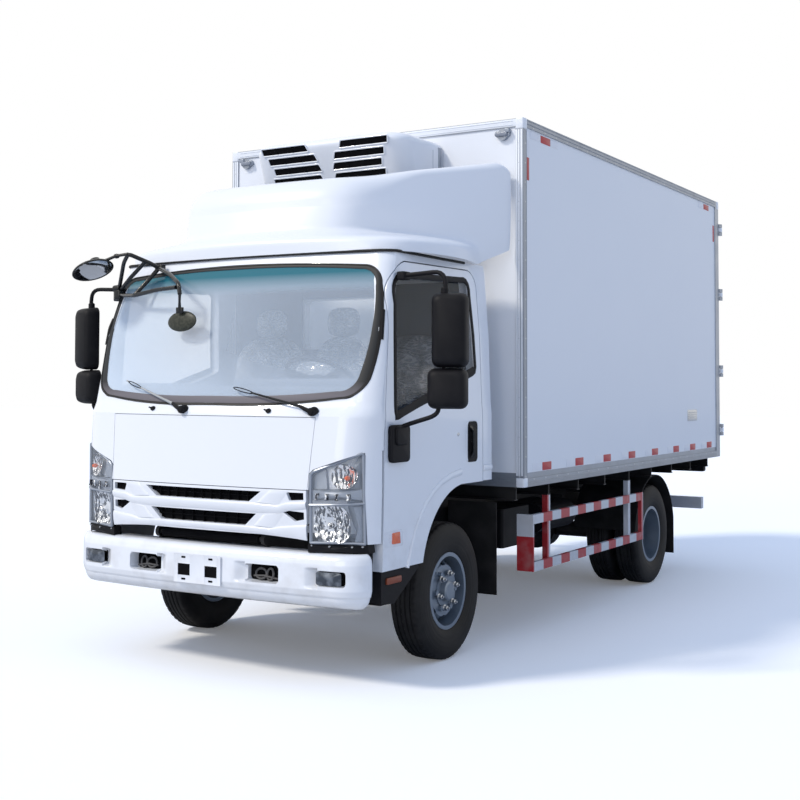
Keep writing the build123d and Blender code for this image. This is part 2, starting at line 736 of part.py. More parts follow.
def front_panel_outline(grow=0):
    """Front view of the service panel under the windscreen."""
    Polyline(
        (-panel_low_half - grow, panel_low - grow), (panel_low_half + grow, panel_low - grow),
        (panel_high_half + grow, panel_high + grow), (-panel_high_half - grow, panel_high + grow),
        (-panel_low_half - grow, panel_low - grow),
    )


def headlamp_outline(side):
    """Front view of one headlamp: upright inner edge and a raked top."""
    Polyline(
        (side * lamp_split_x, lamp_low), (side * lamp_split_x, 1108),
        (side * (lamp_split_x + 20), 1128), (side * 960, 1222), (side * 1040, 1232),
        (side * 1040, lamp_low), (side * lamp_split_x, lamp_low),
    )


cab_fit = lofted(cab_levels, cab_rear, -seat_gap)
# recess for the front panel, the grille and the lamps, as deep as the mouldings
with BuildPart() as front_mouth:
    with BuildSketch(across(-1250)):
        with Locations((0, (grille_low + panel_low) / 2)):
            Rectangle(2 * lamp_split_x, panel_low - grille_low)
        with BuildLine():
            front_panel_outline(3)
        make_face()
        for side in (-1, 1):
            with BuildLine():
                headlamp_outline(side)
            make_face()
    extrude(amount=-700)
front_recess = front_mouth.part - cab_mouldings

with BuildPart() as cab_shell:
    add(cab_outer)
    add(cab_inner, mode=Mode.SUBTRACT)
    # open underneath: wheel bay, and the mouth ahead of the doors above the bumper
    with Locations((0, station(-1200), 0)):
        Box(2400, 1200 + riser_station, floor_low, align=(Align.CENTER, Align.MIN, Align.MIN),
            mode=Mode.SUBTRACT)
    with Locations((0, station(riser_station), 0)):
        Box(2400, 1200, deck_low, align=(Align.CENTER, Align.MIN, Align.MIN),
            mode=Mode.SUBTRACT)
    with BuildSketch(lengthwise(-1200)):
        with BuildLine():
            door_outline()
        make_face()
        offset(amount=shut_gap)
    extrude(amount=2400, mode=Mode.SUBTRACT)
    with BuildSketch(across(-1250)):
        with BuildLine():
            windscreen_outline()
        make_face()
    extrude(amount=-800, mode=Mode.SUBTRACT)
    with BuildSketch(across(cab_rear + 10)):
        with Locations((0, rear_window_z)):
            RectangleRounded(*rear_window_size, 40)
    extrude(amount=120, mode=Mode.SUBTRACT)
    # skin removed where the front panel, the grille and the lamps sit
    add(front_recess, mode=Mode.SUBTRACT)
finish(cab_shell.part, "cab_shell")

# ---------------------------------------------------------------- cab floor, steps and glazing
floor_fit = lofted(cab_levels, cab_rear, cab_wall + 14, cab_front_wall + seat_gap, roof_thickness)
with BuildPart() as cab_floor:
    # foot well, riser and the deck over the engine, cut to the inside of the shell
    with Locations((0, station(-1250), floor_low)):
        Box(2400, 1250 + riser_station + 30, floor_high - floor_low,
            align=(Align.CENTER, Align.MIN, Align.MIN))
    with Locations((0, station(riser_station), floor_low)):
        Box(2400, 30, deck_high - floor_low, align=(Align.CENTER, Align.MIN, Align.MIN))
    with Locations((0, station(riser_station), deck_low)):
        Box(2400, 1200, deck_high - deck_low, align=(Align.CENTER, Align.MIN, Align.MIN))
    add(floor_fit, mode=Mode.INTERSECT)
    # tilt tube on two arms below the front edge
    with BuildSketch(lengthwise(-330)):
        with Locations((station(pivot_station), pivot_z)):
            Circle(27)
    extrude(amount=660)
    for side in (-1, 1):
        with BuildSketch(lengthwise(side * 300)):
            with BuildLine():
                Polyline(
                    (station(pivot_station - 22), pivot_z), (station(pivot_station - 10), floor_low),
                    (station(pivot_station + 160), floor_low), (station(pivot_station + 22), pivot_z),
                    (station(pivot_station - 22), pivot_z),
                )
            make_face()
        extrude(amount=-side * 40)
    with BuildSketch(lengthwise(-400)):
        with Locations((station(pivot_station), pivot_z)):
            Circle(pivot_pin_radius + running_gap)
    extrude(amount=800, mode=Mode.SUBTRACT)
finish(cab_floor.part, "cab_floor")

step_front = -845
step_rear = -452             # kept inside the circle the front tyre leaves free as the cab tilts
step_inner_x = 640
step_outer_x = 978
step_wall = 12


def step_outline(wall=0):
    """Side view of a step well: upright front, short tread, long slope up to the wheel arch."""
    Polyline(
        (station(step_front + wall), floor_low + 2 * wall - seat_gap),
        (station(step_front + wall), 345 + 2 * wall), (station(-712), 338 + 2 * wall),
        (station(step_rear - wall), 582 + wall),
        (station(step_rear - wall), floor_low + 2 * wall - seat_gap),
        (station(step_front + wall), floor_low + 2 * wall - seat_gap),
    )


with BuildPart() as cab_steps:
    for side in (-1, 1):
        # open well: inner wall, tread and end walls, with the outer skirt below the door
        with BuildSketch(lengthwise(side * step_inner_x)):
            with BuildLine():
                step_outline()
            make_face()
        extrude(amount=side * (step_outer_x - step_inner_x))
        with BuildSketch(lengthwise(side * (step_inner_x + step_wall))):
            with BuildLine():
                step_outline(step_wall)
            make_face()
        extrude(amount=side * (step_outer_x - step_inner_x - 2 * step_wall), mode=Mode.SUBTRACT)
    # nothing stands in the doors' way above the sill
    for side in (-1, 1):
        with Locations((side * 925, station(-900), door_bottom - shut_gap)):
            Box(120, 500, 300, align=(Align.MIN if side > 0 else Align.MAX, Align.MIN, Align.MIN),
                mode=Mode.SUBTRACT)
finish(cab_steps.part, "cab_steps")

glass_inset = 14
glass_thickness = 9
glass_outer = lofted(cab_levels, cab_rear, glass_inset)
glass_inner = lofted(cab_levels, cab_rear, glass_inset + glass_thickness)
with BuildPart() as cab_glazing:
    with BuildSketch(across(-1250)):
        with BuildLine():
            windscreen_outline(seat_gap)
        make_face()
    extrude(amount=-800)
    add(glass_outer, mode=Mode.INTERSECT)
    add(glass_inner, mode=Mode.SUBTRACT)
    with BuildSketch(across(cab_rear - 24)):
        with Locations((0, rear_window_z)):
            RectangleRounded(rear_window_size[0] - 2 * seat_gap, rear_window_size[1] - 2 * seat_gap, 40)
    extrude(amount=glass_thickness)
finish(cab_glazing.part, "cab_glazing")

# ---------------------------------------------------------------- front panel, grille, lamps
front_skin = cab_outer - lofted(cab_levels, cab_rear, cab_wall, cab_skin - seat_gap, roof_thickness)
with BuildPart() as front_panel:
    with BuildSketch(across(-1250)):
        with BuildLine():
            front_panel_outline()
        make_face()
    extrude(amount=-400)
    add(front_skin, mode=Mode.INTERSECT)
finish(front_panel.part, "front_panel")

grille_high = panel_low - 4
with BuildPart() as grille:
    with BuildSketch(across(-1250)):
        with BuildLine():
            Polyline(
                (-664, grille_high), (664, grille_high), (664, 850), (600, grille_low),
                (-600, grille_low), (-664, 850), (-664, grille_high),
            )
        make_face()
        # upper and lower mouths, and two small ones on each side
        with BuildLine():
            Polyline((-395, 1006), (395, 1006), (318, 950), (-318, 950), (-395, 1006))
        make_face(mode=Mode.SUBTRACT)
        with BuildLine():
            Polyline((-362, 888), (362, 888), (290, 824), (-290, 824), (-362, 888))
        make_face(mode=Mode.SUBTRACT)
        for side in (-1, 1):
            with BuildLine():
                Polyline(
                    (side * 548, 1008), (side * 650, 1008), (side * 650, 972), (side * 566, 966),
                    (side * 548, 1008),
                )
            make_face(mode=Mode.SUBTRACT)
            with BuildLine():
                Polyline(
                    (side * 508, 916), (side * 650, 908), (side * 650, 872), (side * 596, 860),
                    (side * 508, 916),
                )
            make_face(mode=Mode.SUBTRACT)
    extrude(amount=-400)
    add(front_skin, mode=Mode.INTERSECT)
finish(grille.part, "grille")

with BuildPart() as headlamps:
    with BuildSketch(across(-1250)):
        for side in (-1, 1):
            with BuildLine():
                headlamp_outline(side)
            make_face()
        offset(amount=-3)
    extrude(amount=-700)
    add(front_skin, mode=Mode.INTERSECT)
    with Locations((0, station(door_front - 14), 500)):
        Box(2400, 900, 1000, align=(Align.CENTER, Align.MIN, Align.MIN), mode=Mode.SUBTRACT)
finish(headlamps.part, "headlamps")

# ---------------------------------------------------------------- doors, their glass and mirrors
door_skin = cab_outer - lofted(cab_levels, cab_rear + 300, cab_wall, -cab_wall, roof_thickness)
door_glass_band = (lofted(cab_levels, cab_rear + 300, glass_inset)
                   - lofted(cab_levels, cab_rear + 300, glass_inset + glass_thickness))
mirror_x = 1275
mirror_y = -655
for side, word in ((1, "left"), (-1, "right")):
    with BuildPart() as cab_door:
        with BuildSketch(lengthwise(0)):
            with BuildLine():
                door_outline()
            make_face()
            with BuildLine():
                side_window_outline()
            make_face(mode=Mode.SUBTRACT)
        extrude(amount=side * 1200)
        add(door_skin, mode=Mode.INTERSECT)
        # recessed pull handle's escutcheon
        with Locations((side * (cab_half_width - 2), station(140), 1242)):
            Box(12, 138, 226)
    finish(cab_door.part, f"cab_door_{word}")
    with BuildPart() as door_glass:
        with BuildSketch(lengthwise(0)):
            with BuildLine():
                side_window_outline()
            make_face()
            offset(amount=-seat_gap)
        extrude(amount=side * 1200)
        add(door_glass_band, mode=Mode.INTERSECT)
    finish(door_glass.part, f"door_glass_{word}")
    # two mirror heads on a bow between the window's top corner and the lower base
    with BuildPart() as door_mirror:
        with BuildSketch(Plane.XY.offset(1684)):
            with Locations((side * mirror_x, station(mirror_y))):
                RectangleRounded(206, 92, 40)
        extrude(amount=356)
        with BuildSketch(Plane.XY.offset(1476)):
            with Locations((side * (mirror_x - 12), station(mirror_y))):
                RectangleRounded(226, 96, 40)
        extrude(amount=190)
        with BuildLine():
            bow = FilletPolyline(
                (side * (cab_half_width - 20), station(-640), 2143),
                (side * 1246, station(mirror_y), 2150), (side * 1246, station(mirror_y), 1420),
                (side * 1030, station(-690), 1352), radius=44,
            )
        with BuildSketch(Plane(origin=bow @ 0, z_dir=bow % 0)):
            Circle(11)
        sweep(path=bow.edges())
        with Locations((side * (cab_half_width + 22), station(-724), 1257)):
            Box(56, 196, 200)
        with Locations((side * (cab_half_width - 30), station(-640), 2143)):
            Box(50, 90, 60)
        add(cab_outer, mode=Mode.SUBTRACT)
    finish(door_mirror.part, f"mirror_{word}")

# ---------------------------------------------------------------- inside the cab
def dashboard_outline():
    """Side view of the dashboard, with its lip towards the driver."""
    Polyline(
        (station(-1100), 1180), (station(-1100), 1452), (station(-760), 1492),
        (station(-690), 1440), (station(-660), 1330), (station(-720), 1180),
        (station(-1100), 1180),
    )


inner_fit = lofted(cab_levels, cab_rear, cab_wall + 20, cab_front_wall + 6, roof_thickness + 10)
with BuildPart() as dashboard:
    with BuildSketch(lengthwise(-880)):
        with BuildLine():
            dashboard_outline()
        make_face()
    extrude(amount=1760)
    # centre console down to the foot well's floor
    with BuildSketch(lengthwise(-170)):
        with BuildLine():
            Polyline(
                (station(-940), floor_high + seat_gap), (station(-940), 1190),
                (station(-722), 1190), (station(-640), floor_high + seat_gap),
                (station(-940), floor_high + seat_gap),
            )
        make_face()
    extrude(amount=340)
    add(inner_fit, mode=Mode.INTERSECT)
finish(dashboard.part, "dashboard")

steering_wheel_centre = Vector(420, station(-560), 1600)
steering_tilt = 32
column = Plane(origin=steering_wheel_centre, x_dir=(1, 0, 0),
               z_dir=(0, sin(radians(steering_tilt)), cos(radians(steering_tilt))))
with BuildPart() as steering_wheel:
    with BuildSketch(Plane(origin=steering_wheel_centre, x_dir=column.x_dir, z_dir=column.y_dir)):
        with Locations((205, 0)):
            Circle(14)
    revolve(axis=Axis(steering_wheel_centre, column.z_dir))
    with BuildSketch(column.offset(-34)):
        Circle(58)
        with PolarLocations(120, 3, start_angle=90):
            Rectangle(160, 34)
    extrude(amount=24)
    # column down to the dashboard's rear face
    with BuildSketch(column.offset(-30)):
        Circle(34)
    extrude(amount=-260)
    with BuildSketch(lengthwise(-880)):
        with BuildLine():
            dashboard_outline()
        make_face()
        offset(amount=seat_gap)
    extrude(amount=1760, mode=Mode.SUBTRACT)
finish(steering_wheel.part, "steering_wheel")

# columns: middle of the seat across the cab, width
seat_places = [(560, 480), (40, 400), (-520, 560)]
with BuildPart() as seats:
    for x, width in seat_places:
        with BuildSketch(lengthwise(x - width / 2)):
            with BuildLine():
                Polyline(
                    (station(-330), deck_high + seat_gap), (station(-350), 1150),
                    (station(-320), 1200), (station(130), 1180), (station(212), 1790),
                    (station(322), 1790), (station(290), deck_high + seat_gap),
                    (station(-330), deck_high + seat_gap),
                )
            make_face()
        extrude(amount=width)
        with BuildSketch(lengthwise(x - 125)):
            with BuildLine():
                Polyline(
                    (station(232), 1780), (station(236), 1985), (station(322), 1985),
                    (station(318), 1780), (station(232), 1780),
                )
            make_face()
        extrude(amount=250)
finish(seats.part, "seats")

# wipers: pivot on the cowl, blade lying along the screen's lower edge
# columns: pivot x, pivot z, blade tip x, blade tip z
wiper_places = [(350, 1432, 0, 1560), (-400, 1432, -700, 1560)]
wiper_lift = 34
with BuildPart() as wipers:
    for pivot_x, low_z, tip_x, tip_z in wiper_places:
        base = Vector(pivot_x, station(-1078), low_z)
        tip = Vector(tip_x, station(-1058 - (0 if tip_x == 0 else -30)), tip_z)
        with Locations(base):
            Cylinder(24, 30, rotation=(74, 0, 0))
            Cylinder(14, 90, rotation=(74, 0, 0))
        with BuildSketch(Plane(origin=base, z_dir=tip - base)):
            Rectangle(16, 22)
        extrude(amount=(tip - base).length)
    add(cab_fit, mode=Mode.SUBTRACT)
finish(wipers.part, "wipers")

# ---------------------------------------------------------------- roof fairing
fairing_rear = 556
# columns: height, front station, corner x, corner station, half width, side station
fairing_skirt_levels = [
    (2283, -788, 842, -705, 948, -640),
    (2385, -792, 800, -690, 950, -600),
    (2440, -735, 700, -620, 905, -520),
]
# columns: height, front station, corner x, corner station, rear half width
fairing_dome_levels = [
    (2300, -700, 560, -600, 1045),
    (2440, -690, 570, -590, 1060),
    (2580, -600, 590, -510, 1068),
    (2730, -430, 570, -370, 1068),
    (2960, -60, 480, -20, 1060),
]
crest_station = -250
crest_z = 2786
wing_z = 2935
wing_foot_station = 278


def dome(levels, inset, rear_station):
    """Solid through plan outlines that flare from the dome's front out to the rear corners."""
    with BuildPart() as shape:
        for z, front, corner_x, corner_y, rear_half in levels:
            nose_x = corner_x - inset
            nose_y = station(corner_y + inset)
            tail_x = rear_half - inset
            tail_y = station(rear_station)
            swell_x = nose_x + 0.40 * (tail_x - nose_x)
            swell_y = nose_y + 0.36 * (tail_y - nose_y)
            with BuildSketch(Plane.XY.offset(z)):
                with BuildLine():
                    ThreePointArc((-nose_x, nose_y), (0, station(front + inset)), (nose_x, nose_y))
                    ThreePointArc((nose_x, nose_y), (swell_x, swell_y), (tail_x, tail_y))
                    Line((tail_x, tail_y), (-tail_x, tail_y))
                    ThreePointArc((-tail_x, tail_y), (-swell_x, swell_y), (-nose_x, nose_y))
                make_face()
        loft(ruled=True)
    return shape.part


fairing_wall = 24
fairing_lip = 90
rise = (wing_z - crest_z) / (fairing_rear - crest_station)
dome_outer = dome(fairing_dome_levels, 0, fairing_rear)
dome_mouth = dome(fairing_dome_levels, fairing_lip, fairing_rear + 200)
dome_inner = dome(fairing_dome_levels, fairing_wall, fairing_rear + 200)
skirt_ring = lofted(fairing_skirt_levels, 290) - lofted(fairing_skirt_levels, 420, fairing_wall)
# hollow under the fairing's top lip
with BuildPart() as fairing_hollow:
    add(dome_inner)
    with BuildSketch(lengthwise(-1200)):
        with BuildLine():
            Polyline(
                (station(-900), 2200),
                (station(-900), crest_z - fairing_wall - rise * (900 + crest_station)),
                (station(900), wing_z - fairing_wall + rise * (900 - fairing_rear)),
                (station(900), 2200), (station(-900), 2200),
            )
        make_face()
    extrude(amount=2400, mode=Mode.INTERSECT)
with BuildPart() as roof_fairing:
    add(dome_outer)
    # side view: top edge rises to the rear, bottom edge lifts behind the skirt
    with BuildSketch(lengthwise(-1200)):
        with BuildLine():
            Polyline(
                (station(-900), 2300), (station(-900), crest_z - rise * (900 + crest_station)),
                (station(fairing_rear), wing_z), (station(fairing_rear), 2389),
                (station(wing_foot_station), 2301), (station(-900), 2300),
            )
        make_face()
    extrude(amount=2400, mode=Mode.INTERSECT)
    add(dome_mouth, mode=Mode.SUBTRACT)
    add(fairing_hollow.part, mode=Mode.SUBTRACT)
    add(skirt_ring)
    add(cab_fit, mode=Mode.SUBTRACT)
finish(roof_fairing.part, "roof_fairing")

# front-view mirrors on a tube frame at the right-hand top corner of the cab
with BuildPart() as front_view_mirrors:
    tube_stops = [
        (-905, station(-770), 2110), (-905, station(-860), 2290), (-830, station(-900), 2300),
        (-560, station(-960), 2200), (-420, station(-985), 2110), (-400, station(-990), 2070),
    ]
    with BuildLine():
        stay = FilletPolyline(*tube_stops, radius=24)
    with BuildSketch(Plane(origin=stay @ 0, z_dir=stay % 0)):
        Circle(9)
    sweep(path=stay.edges())
    with Locations((-400, station(-990), 1985)):
        Cylinder(86, 34, rotation=(80, 0, 0))
    with Locations((-400, station(-990), 2065)):
        Box(20, 20, 40)
    with Locations((-985, station(-905), 2285)):
        Cylinder(105, 30, rotation=(24, -8, 0))
    with Locations((-880, station(-895), 2296)):
        Cylinder(8, 130, rotation=(0, 90, 0))
    with Locations((-915, station(-760), 2105)):
        Box(40, 50, 60)
    add(cab_outer, mode=Mode.SUBTRACT)
finish(front_view_mirrors.part, "front_view_mirrors")

# ---------------------------------------------------------------- insulated box
panel_half_width = box_half_width - rail_proud
panel_top = box_top - rail_proud
floor_top = box_bottom + box_floor_thickness
wall_foot = floor_top - wall_ledge
rear_frame_front = box_rear - rail_proud - 90
panel_length = rear_frame_front - box_front - rail_proud
load_front = box_front + rail_proud + box_wall
# the walls stand on a ledge round the floor, so the load lies between them
with BuildPart() as box_floor:
    with Locations((0, station(box_front + rail_proud), box_bottom + rail_proud)):
        Box(2 * panel_half_width, panel_length, wall_foot - box_bottom - rail_proud,
            align=(Align.CENTER, Align.MIN, Align.MIN))
    with Locations((0, station(load_front + seat_gap), wall_foot)):
        Box(2 * (panel_half_width - box_wall - seat_gap),
            rear_frame_front - load_front - seat_gap, wall_ledge,
            align=(Align.CENTER, Align.MIN, Align.MIN))
finish(box_floor.part, "box_floor")

with BuildPart() as box_body:
    with Locations((0, station(box_front + rail_proud), wall_foot)):
        Box(2 * panel_half_width, panel_length, panel_top - wall_foot,
            align=(Align.CENTER, Align.MIN, Align.MIN))
    with Locations((0, station(load_front), wall_foot)):
        Box(2 * (panel_half_width - box_wall), rear_frame_front - box_front,
            panel_top - wall_foot - box_wall,
            align=(Align.CENTER, Align.MIN, Align.MIN), mode=Mode.SUBTRACT)
finish(box_body.part, "box_body")

# aluminium profiles: angles along every long edge of the box, closed by corner caps
with BuildPart() as box_rails:
    for side in (-1, 1):
        for level, up in ((box_bottom, 1), (box_top, -1)):
            # along the sides
            with BuildSketch(across(box_front)):
                with BuildLine():
                    Polyline(
                        (side * box_half_width, level),
                        (side * box_half_width, level + up * edge_width),
                        (side * panel_half_width, level + up * edge_width),
                        (side * panel_half_width, level + up * rail_proud),
                        (side * (box_half_width - edge_width), level + up * rail_proud),
                        (side * (box_half_width - edge_width), level),
                        (side * box_half_width, level),
                    )
                make_face()
            extrude(amount=-(rear_frame_front - box_front))
        # upright front posts
        with BuildSketch(Plane.XY.offset(box_bottom)):
            with BuildLine():
                Polyline(
                    (side * box_half_width, station(box_front)),
                    (side * box_half_width, station(box_front + edge_width)),
                    (side * panel_half_width, station(box_front + edge_width)),
                    (side * panel_half_width, station(box_front + rail_proud)),
                    (side * (box_half_width - edge_width), station(box_front + rail_proud)),
                    (side * (box_half_width - edge_width), station(box_front)),
                    (side * box_half_width, station(box_front)),
                )
            make_face()
        extrude(amount=box_top - box_bottom)
    # across the front, top and bottom
    for level, up in ((box_bottom, 1), (box_top, -1)):
        with BuildSketch(lengthwise(-box_half_width)):
            with BuildLine():
                Polyline(
                    (station(box_front), level), (station(box_front), level + up * edge_width),
                    (station(box_front + rail_proud), level + up * edge_width),
                    (station(box_front + rail_proud), level + up * rail_proud),
                    (station(box_front + edge_width), level + up * rail_proud),
                    (station(box_front + edge_width), level), (station(box_front), level),
                )
            make_face()
        extrude(amount=2 * box_half_width)
    # marker lamps on the front's top corners
    for side in (-1, 1):
        with Locations((side * 988, station(box_front + rail_proud), box_top - 95)):
            Cylinder(34, 26, rotation=(90, 0, 0), align=(Align.CENTER, Align.CENTER, Align.MIN))
finish(box_rails.part, "box_rails")

door_opening_half = 1040
door_opening_low = box_bottom + 70
door_opening_high = box_top - 70
with BuildPart() as rear_door_frame:
    with Locations((0, station(rear_frame_front), box_bottom)):
        Box(2 * box_half_width, box_rear - rear_frame_front, box_top - box_bottom,
            align=(Align.CENTER, Align.MIN, Align.MIN))
    with Locations((0, station(rear_frame_front), door_opening_low)):
        Box(2 * door_opening_half, 200, door_opening_high - door_opening_low,
            align=(Align.CENTER, Align.MIN, Align.MIN), mode=Mode.SUBTRACT)
    # hinge ears around the pins
    hinge_heights = [1180, 1700, 2380, 2960]
    for side in (-1, 1):
        for z in hinge_heights:
            for offset_z in (-36, 36):
                with Locations((side * rear_hinge_x, station(rear_hinge_station), z + offset_z)):
                    Cylinder(16, 30)
                with Locations((side * (rear_hinge_x - 14), station(box_rear), z + offset_z)):
                    Box(28, rear_hinge_station - box_rear + 6, 30,
                        align=(Align.CENTER, Align.MIN, Align.CENTER))
            with Locations((side * rear_hinge_x, station(rear_hinge_station), z)):
                Cylinder(hinge_pin_radius, 100)
finish(rear_door_frame.part, "rear_door_frame")

door_gap = 6
blade_clearance = 6
door_meeting = 4
lock_rod_x = [180, 700]
for side, word in ((1, "left"), (-1, "right")):
    low = door_opening_low + door_gap
    high = door_opening_high - door_gap
    outer = door_opening_half - door_gap
    with BuildPart() as rear_door:
        with Locations((side * door_meeting, station(box_rear), low)):
            Box(outer - door_meeting, rear_door_thickness, high - low,
                align=(Align.MIN if side > 0 else Align.MAX, Align.MAX, Align.MIN))
        # hinge blades out to the pins
        for z in hinge_heights:
            with Locations((side * (outer - 120), station(box_rear), z)):
                Box(110, 16, 34, align=(Align.MIN if side > 0 else Align.MAX, Align.MIN, Align.CENTER))
            with Locations((side * (outer - 120), station(box_rear + blade_clearance), z)):
                Box(rear_hinge_x - outer + 120, 12, 34,
                    align=(Align.MIN if side > 0 else Align.MAX, Align.MIN, Align.CENTER))
            with Locations((side * rear_hinge_x, station(rear_hinge_station), z)):
                Cylinder(16, 34)
            with Locations((side * (rear_hinge_x - 4), station(box_rear + blade_clearance), z)):
                Box(24, rear_hinge_station - box_rear - blade_clearance, 34,
                    align=(Align.CENTER, Align.MIN, Align.CENTER))
            with Locations((side * rear_hinge_x, station(rear_hinge_station), z)):
                Cylinder(hinge_pin_radius + running_gap, 40, mode=Mode.SUBTRACT)
        # lock rods in their keepers, with a handle each
        for x in lock_rod_x:
            with Locations((side * x, station(box_rear + 24), (low + high) / 2)):
                Cylinder(13, high - low)
            for z in (low + 60, 1500, 2200, high - 60):
                with Locations((side * x, station(box_rear), z)):
                    Box(60, 30, 50, align=(Align.CENTER, Align.MIN, Align.CENTER))
            with Locations((side * x, station(box_rear + 24), 1330)):
                Box(250, 12, 30, align=(Align.MIN if side > 0 else Align.MAX,
                                        Align.MIN, Align.CENTER))
    finish(rear_door.part, f"rear_door_{word}")

# ---------------------------------------------------------------- cooling unit
unit_wall = 14
unit_rear = box_front + rail_proud
# columns: middle height, inner end, outer end of a pair of air slots
slot_rows = [(2867, 34, 415), (2929, 36, 400), (2991, 56, 428), (3053, 112, 465)]
slot_half_height = 22
with BuildPart() as unit_block:
    # front that leans out towards its top, flat roof
    with BuildSketch(lengthwise(-unit_half_width)):
        with BuildLine():
            Polyline(
                (station(unit_rear), unit_bottom), (station(222), unit_bottom),
                (station(192), 2740), (station(62), 3072), (station(96), unit_top),
                (station(unit_rear), unit_top), (station(unit_rear), unit_bottom),
            )
        make_face()
    extrude(amount=2 * unit_half_width)
    # plan: large round front corners
    with BuildSketch(Plane.XY.offset(unit_bottom - 50)):
        with BuildLine():
            FilletPolyline(
                (-unit_half_width, station(unit_rear)), (-unit_half_width, station(30)),
                (unit_half_width, station(30)), (unit_half_width, station(unit_rear)), radius=110,
            )
            Line((-unit_half_width, station(unit_rear)), (unit_half_width, station(unit_rear)))
        make_face()
    extrude(amount=600, mode=Mode.INTERSECT)
with BuildPart() as fridge_unit:
    add(unit_block.part)
    offset(amount=-unit_wall, openings=fridge_unit.faces().sort_by(Axis.Y)[-1])
    with BuildSketch(across(0)):
        for middle, inner, outer in slot_rows:
            for side in (-1, 1):
                low = middle - slot_half_height
                high = middle + slot_half_height
                with BuildLine():
                    Polyline(
                        (side * inner, low), (side * outer, low), (side * (outer + 8), high),
                        (side * (inner + 20), high), (side * inner, low),
                    )
                make_face()
    extrude(amount=-190, mode=Mode.SUBTRACT)
finish(fridge_unit.part, "fridge_unit")

with BuildPart() as fridge_coil:
    add(unit_block.part)
    offset(amount=-unit_wall - seat_gap)
    with BuildSketch(lengthwise(-unit_half_width)):
        with BuildLine():
            Polyline(
                (station(290), 2730), (station(170), 3060), (station(560), 3060),
                (station(560), 2730), (station(290), 2730),
            )
        make_face()
    extrude(amount=2 * unit_half_width, mode=Mode.INTERSECT)
finish(fridge_coil.part, "fridge_coil")
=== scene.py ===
# %% [markdown]
# # A light refrigerated truck
# The truck arrives as a frame of measured parts, each on the body that moves it. This lesson
# gives each part a finish, swaps the parts whose detail the eye looks for, and adds the trim.
# All sizes are in millimetres from the front axle ("stations" run backwards), because that is
# how a truck is measured, and one helper turns them into metres.

# %% Load the frame and keep its box
import json
import math
import bmesh
import bpy
import numpy as np
from mathutils import Matrix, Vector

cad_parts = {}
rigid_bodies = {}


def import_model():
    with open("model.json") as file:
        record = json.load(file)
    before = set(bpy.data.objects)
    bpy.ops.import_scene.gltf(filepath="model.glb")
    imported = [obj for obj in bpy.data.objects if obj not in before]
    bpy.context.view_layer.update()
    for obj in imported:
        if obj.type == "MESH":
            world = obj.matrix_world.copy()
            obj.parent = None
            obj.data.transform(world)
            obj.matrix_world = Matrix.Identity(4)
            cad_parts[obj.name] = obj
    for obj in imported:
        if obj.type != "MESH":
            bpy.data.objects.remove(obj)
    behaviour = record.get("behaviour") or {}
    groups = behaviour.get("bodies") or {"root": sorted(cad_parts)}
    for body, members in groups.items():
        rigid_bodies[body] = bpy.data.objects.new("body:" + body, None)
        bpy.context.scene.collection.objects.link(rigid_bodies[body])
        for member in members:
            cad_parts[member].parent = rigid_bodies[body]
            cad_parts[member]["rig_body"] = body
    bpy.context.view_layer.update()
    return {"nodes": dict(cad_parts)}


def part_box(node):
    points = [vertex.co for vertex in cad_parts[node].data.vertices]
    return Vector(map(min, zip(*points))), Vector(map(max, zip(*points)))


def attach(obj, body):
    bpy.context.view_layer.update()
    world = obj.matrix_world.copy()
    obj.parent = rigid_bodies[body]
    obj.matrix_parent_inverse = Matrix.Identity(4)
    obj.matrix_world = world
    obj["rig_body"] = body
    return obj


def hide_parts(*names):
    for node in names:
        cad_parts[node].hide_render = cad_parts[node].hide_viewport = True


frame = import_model()
nodes = frame["nodes"]

# %% [markdown]
# ## Places and sizes
# The front axle is the truck's own zero. It is read from the front tyre, whose middle it is.
# A place is written as (across, station, height): across is positive to the truck's left.

# %% Places
tyre_low, tyre_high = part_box("front_tyre_left")
axle_y = (tyre_low.y + tyre_high.y) / 2
WHEELBASE = 3360
TYRE_RADIUS = 389
SIDES = (("left", 1), ("right", -1))
ACROSS, BACK, UP = np.eye(3)


def metres(points):
    """(across, station, height) in mm to metres: a thousandth, then shifted by the front axle."""
    return np.asarray(points, float) / 1000 + np.array([0, axle_y, 0])


print("front axle at y", round(axle_y, 4))

# %% [markdown]
# ## Rings
# Nearly every piece here is a stack of rings: closed outlines with the same number of points.
# One function joins them with four-sided faces and closes both ends, so all the pieces are
# watertight in the same way.

# %% Stack rings into a surface
def stack(rings, loop=False):
    """Vertices and faces between rings of equal count: face (i, j) joins ring i to i + 1 at
    points j and j + 1. Ends are closed by one face each, or joined to each other in a loop."""
    rings = np.asarray(rings, float)
    levels, count = rings.shape[:2]
    index = np.arange(levels * count).reshape(levels, count)
    low = index if loop else index[:-1]
    high = np.roll(index, -1, 0) if loop else index[1:]
    quads = np.stack([low, np.roll(low, -1, 1), np.roll(high, -1, 1), high], -1)
    faces = quads.reshape(-1, 4).tolist()
    if not loop:
        faces += [index[0][::-1].tolist(), index[-1].tolist()]
    return rings.reshape(-1, 3), faces


print("two rings of four points make", len(stack(np.zeros((2, 4, 3)))[1]), "faces")

# %% [markdown]
# ## One object from several shells
# A real piece is often several pressings fixed together. Its shells share one mesh, take one
# finish and ride on one body. Points that meet are merged and faces are turned outwards.

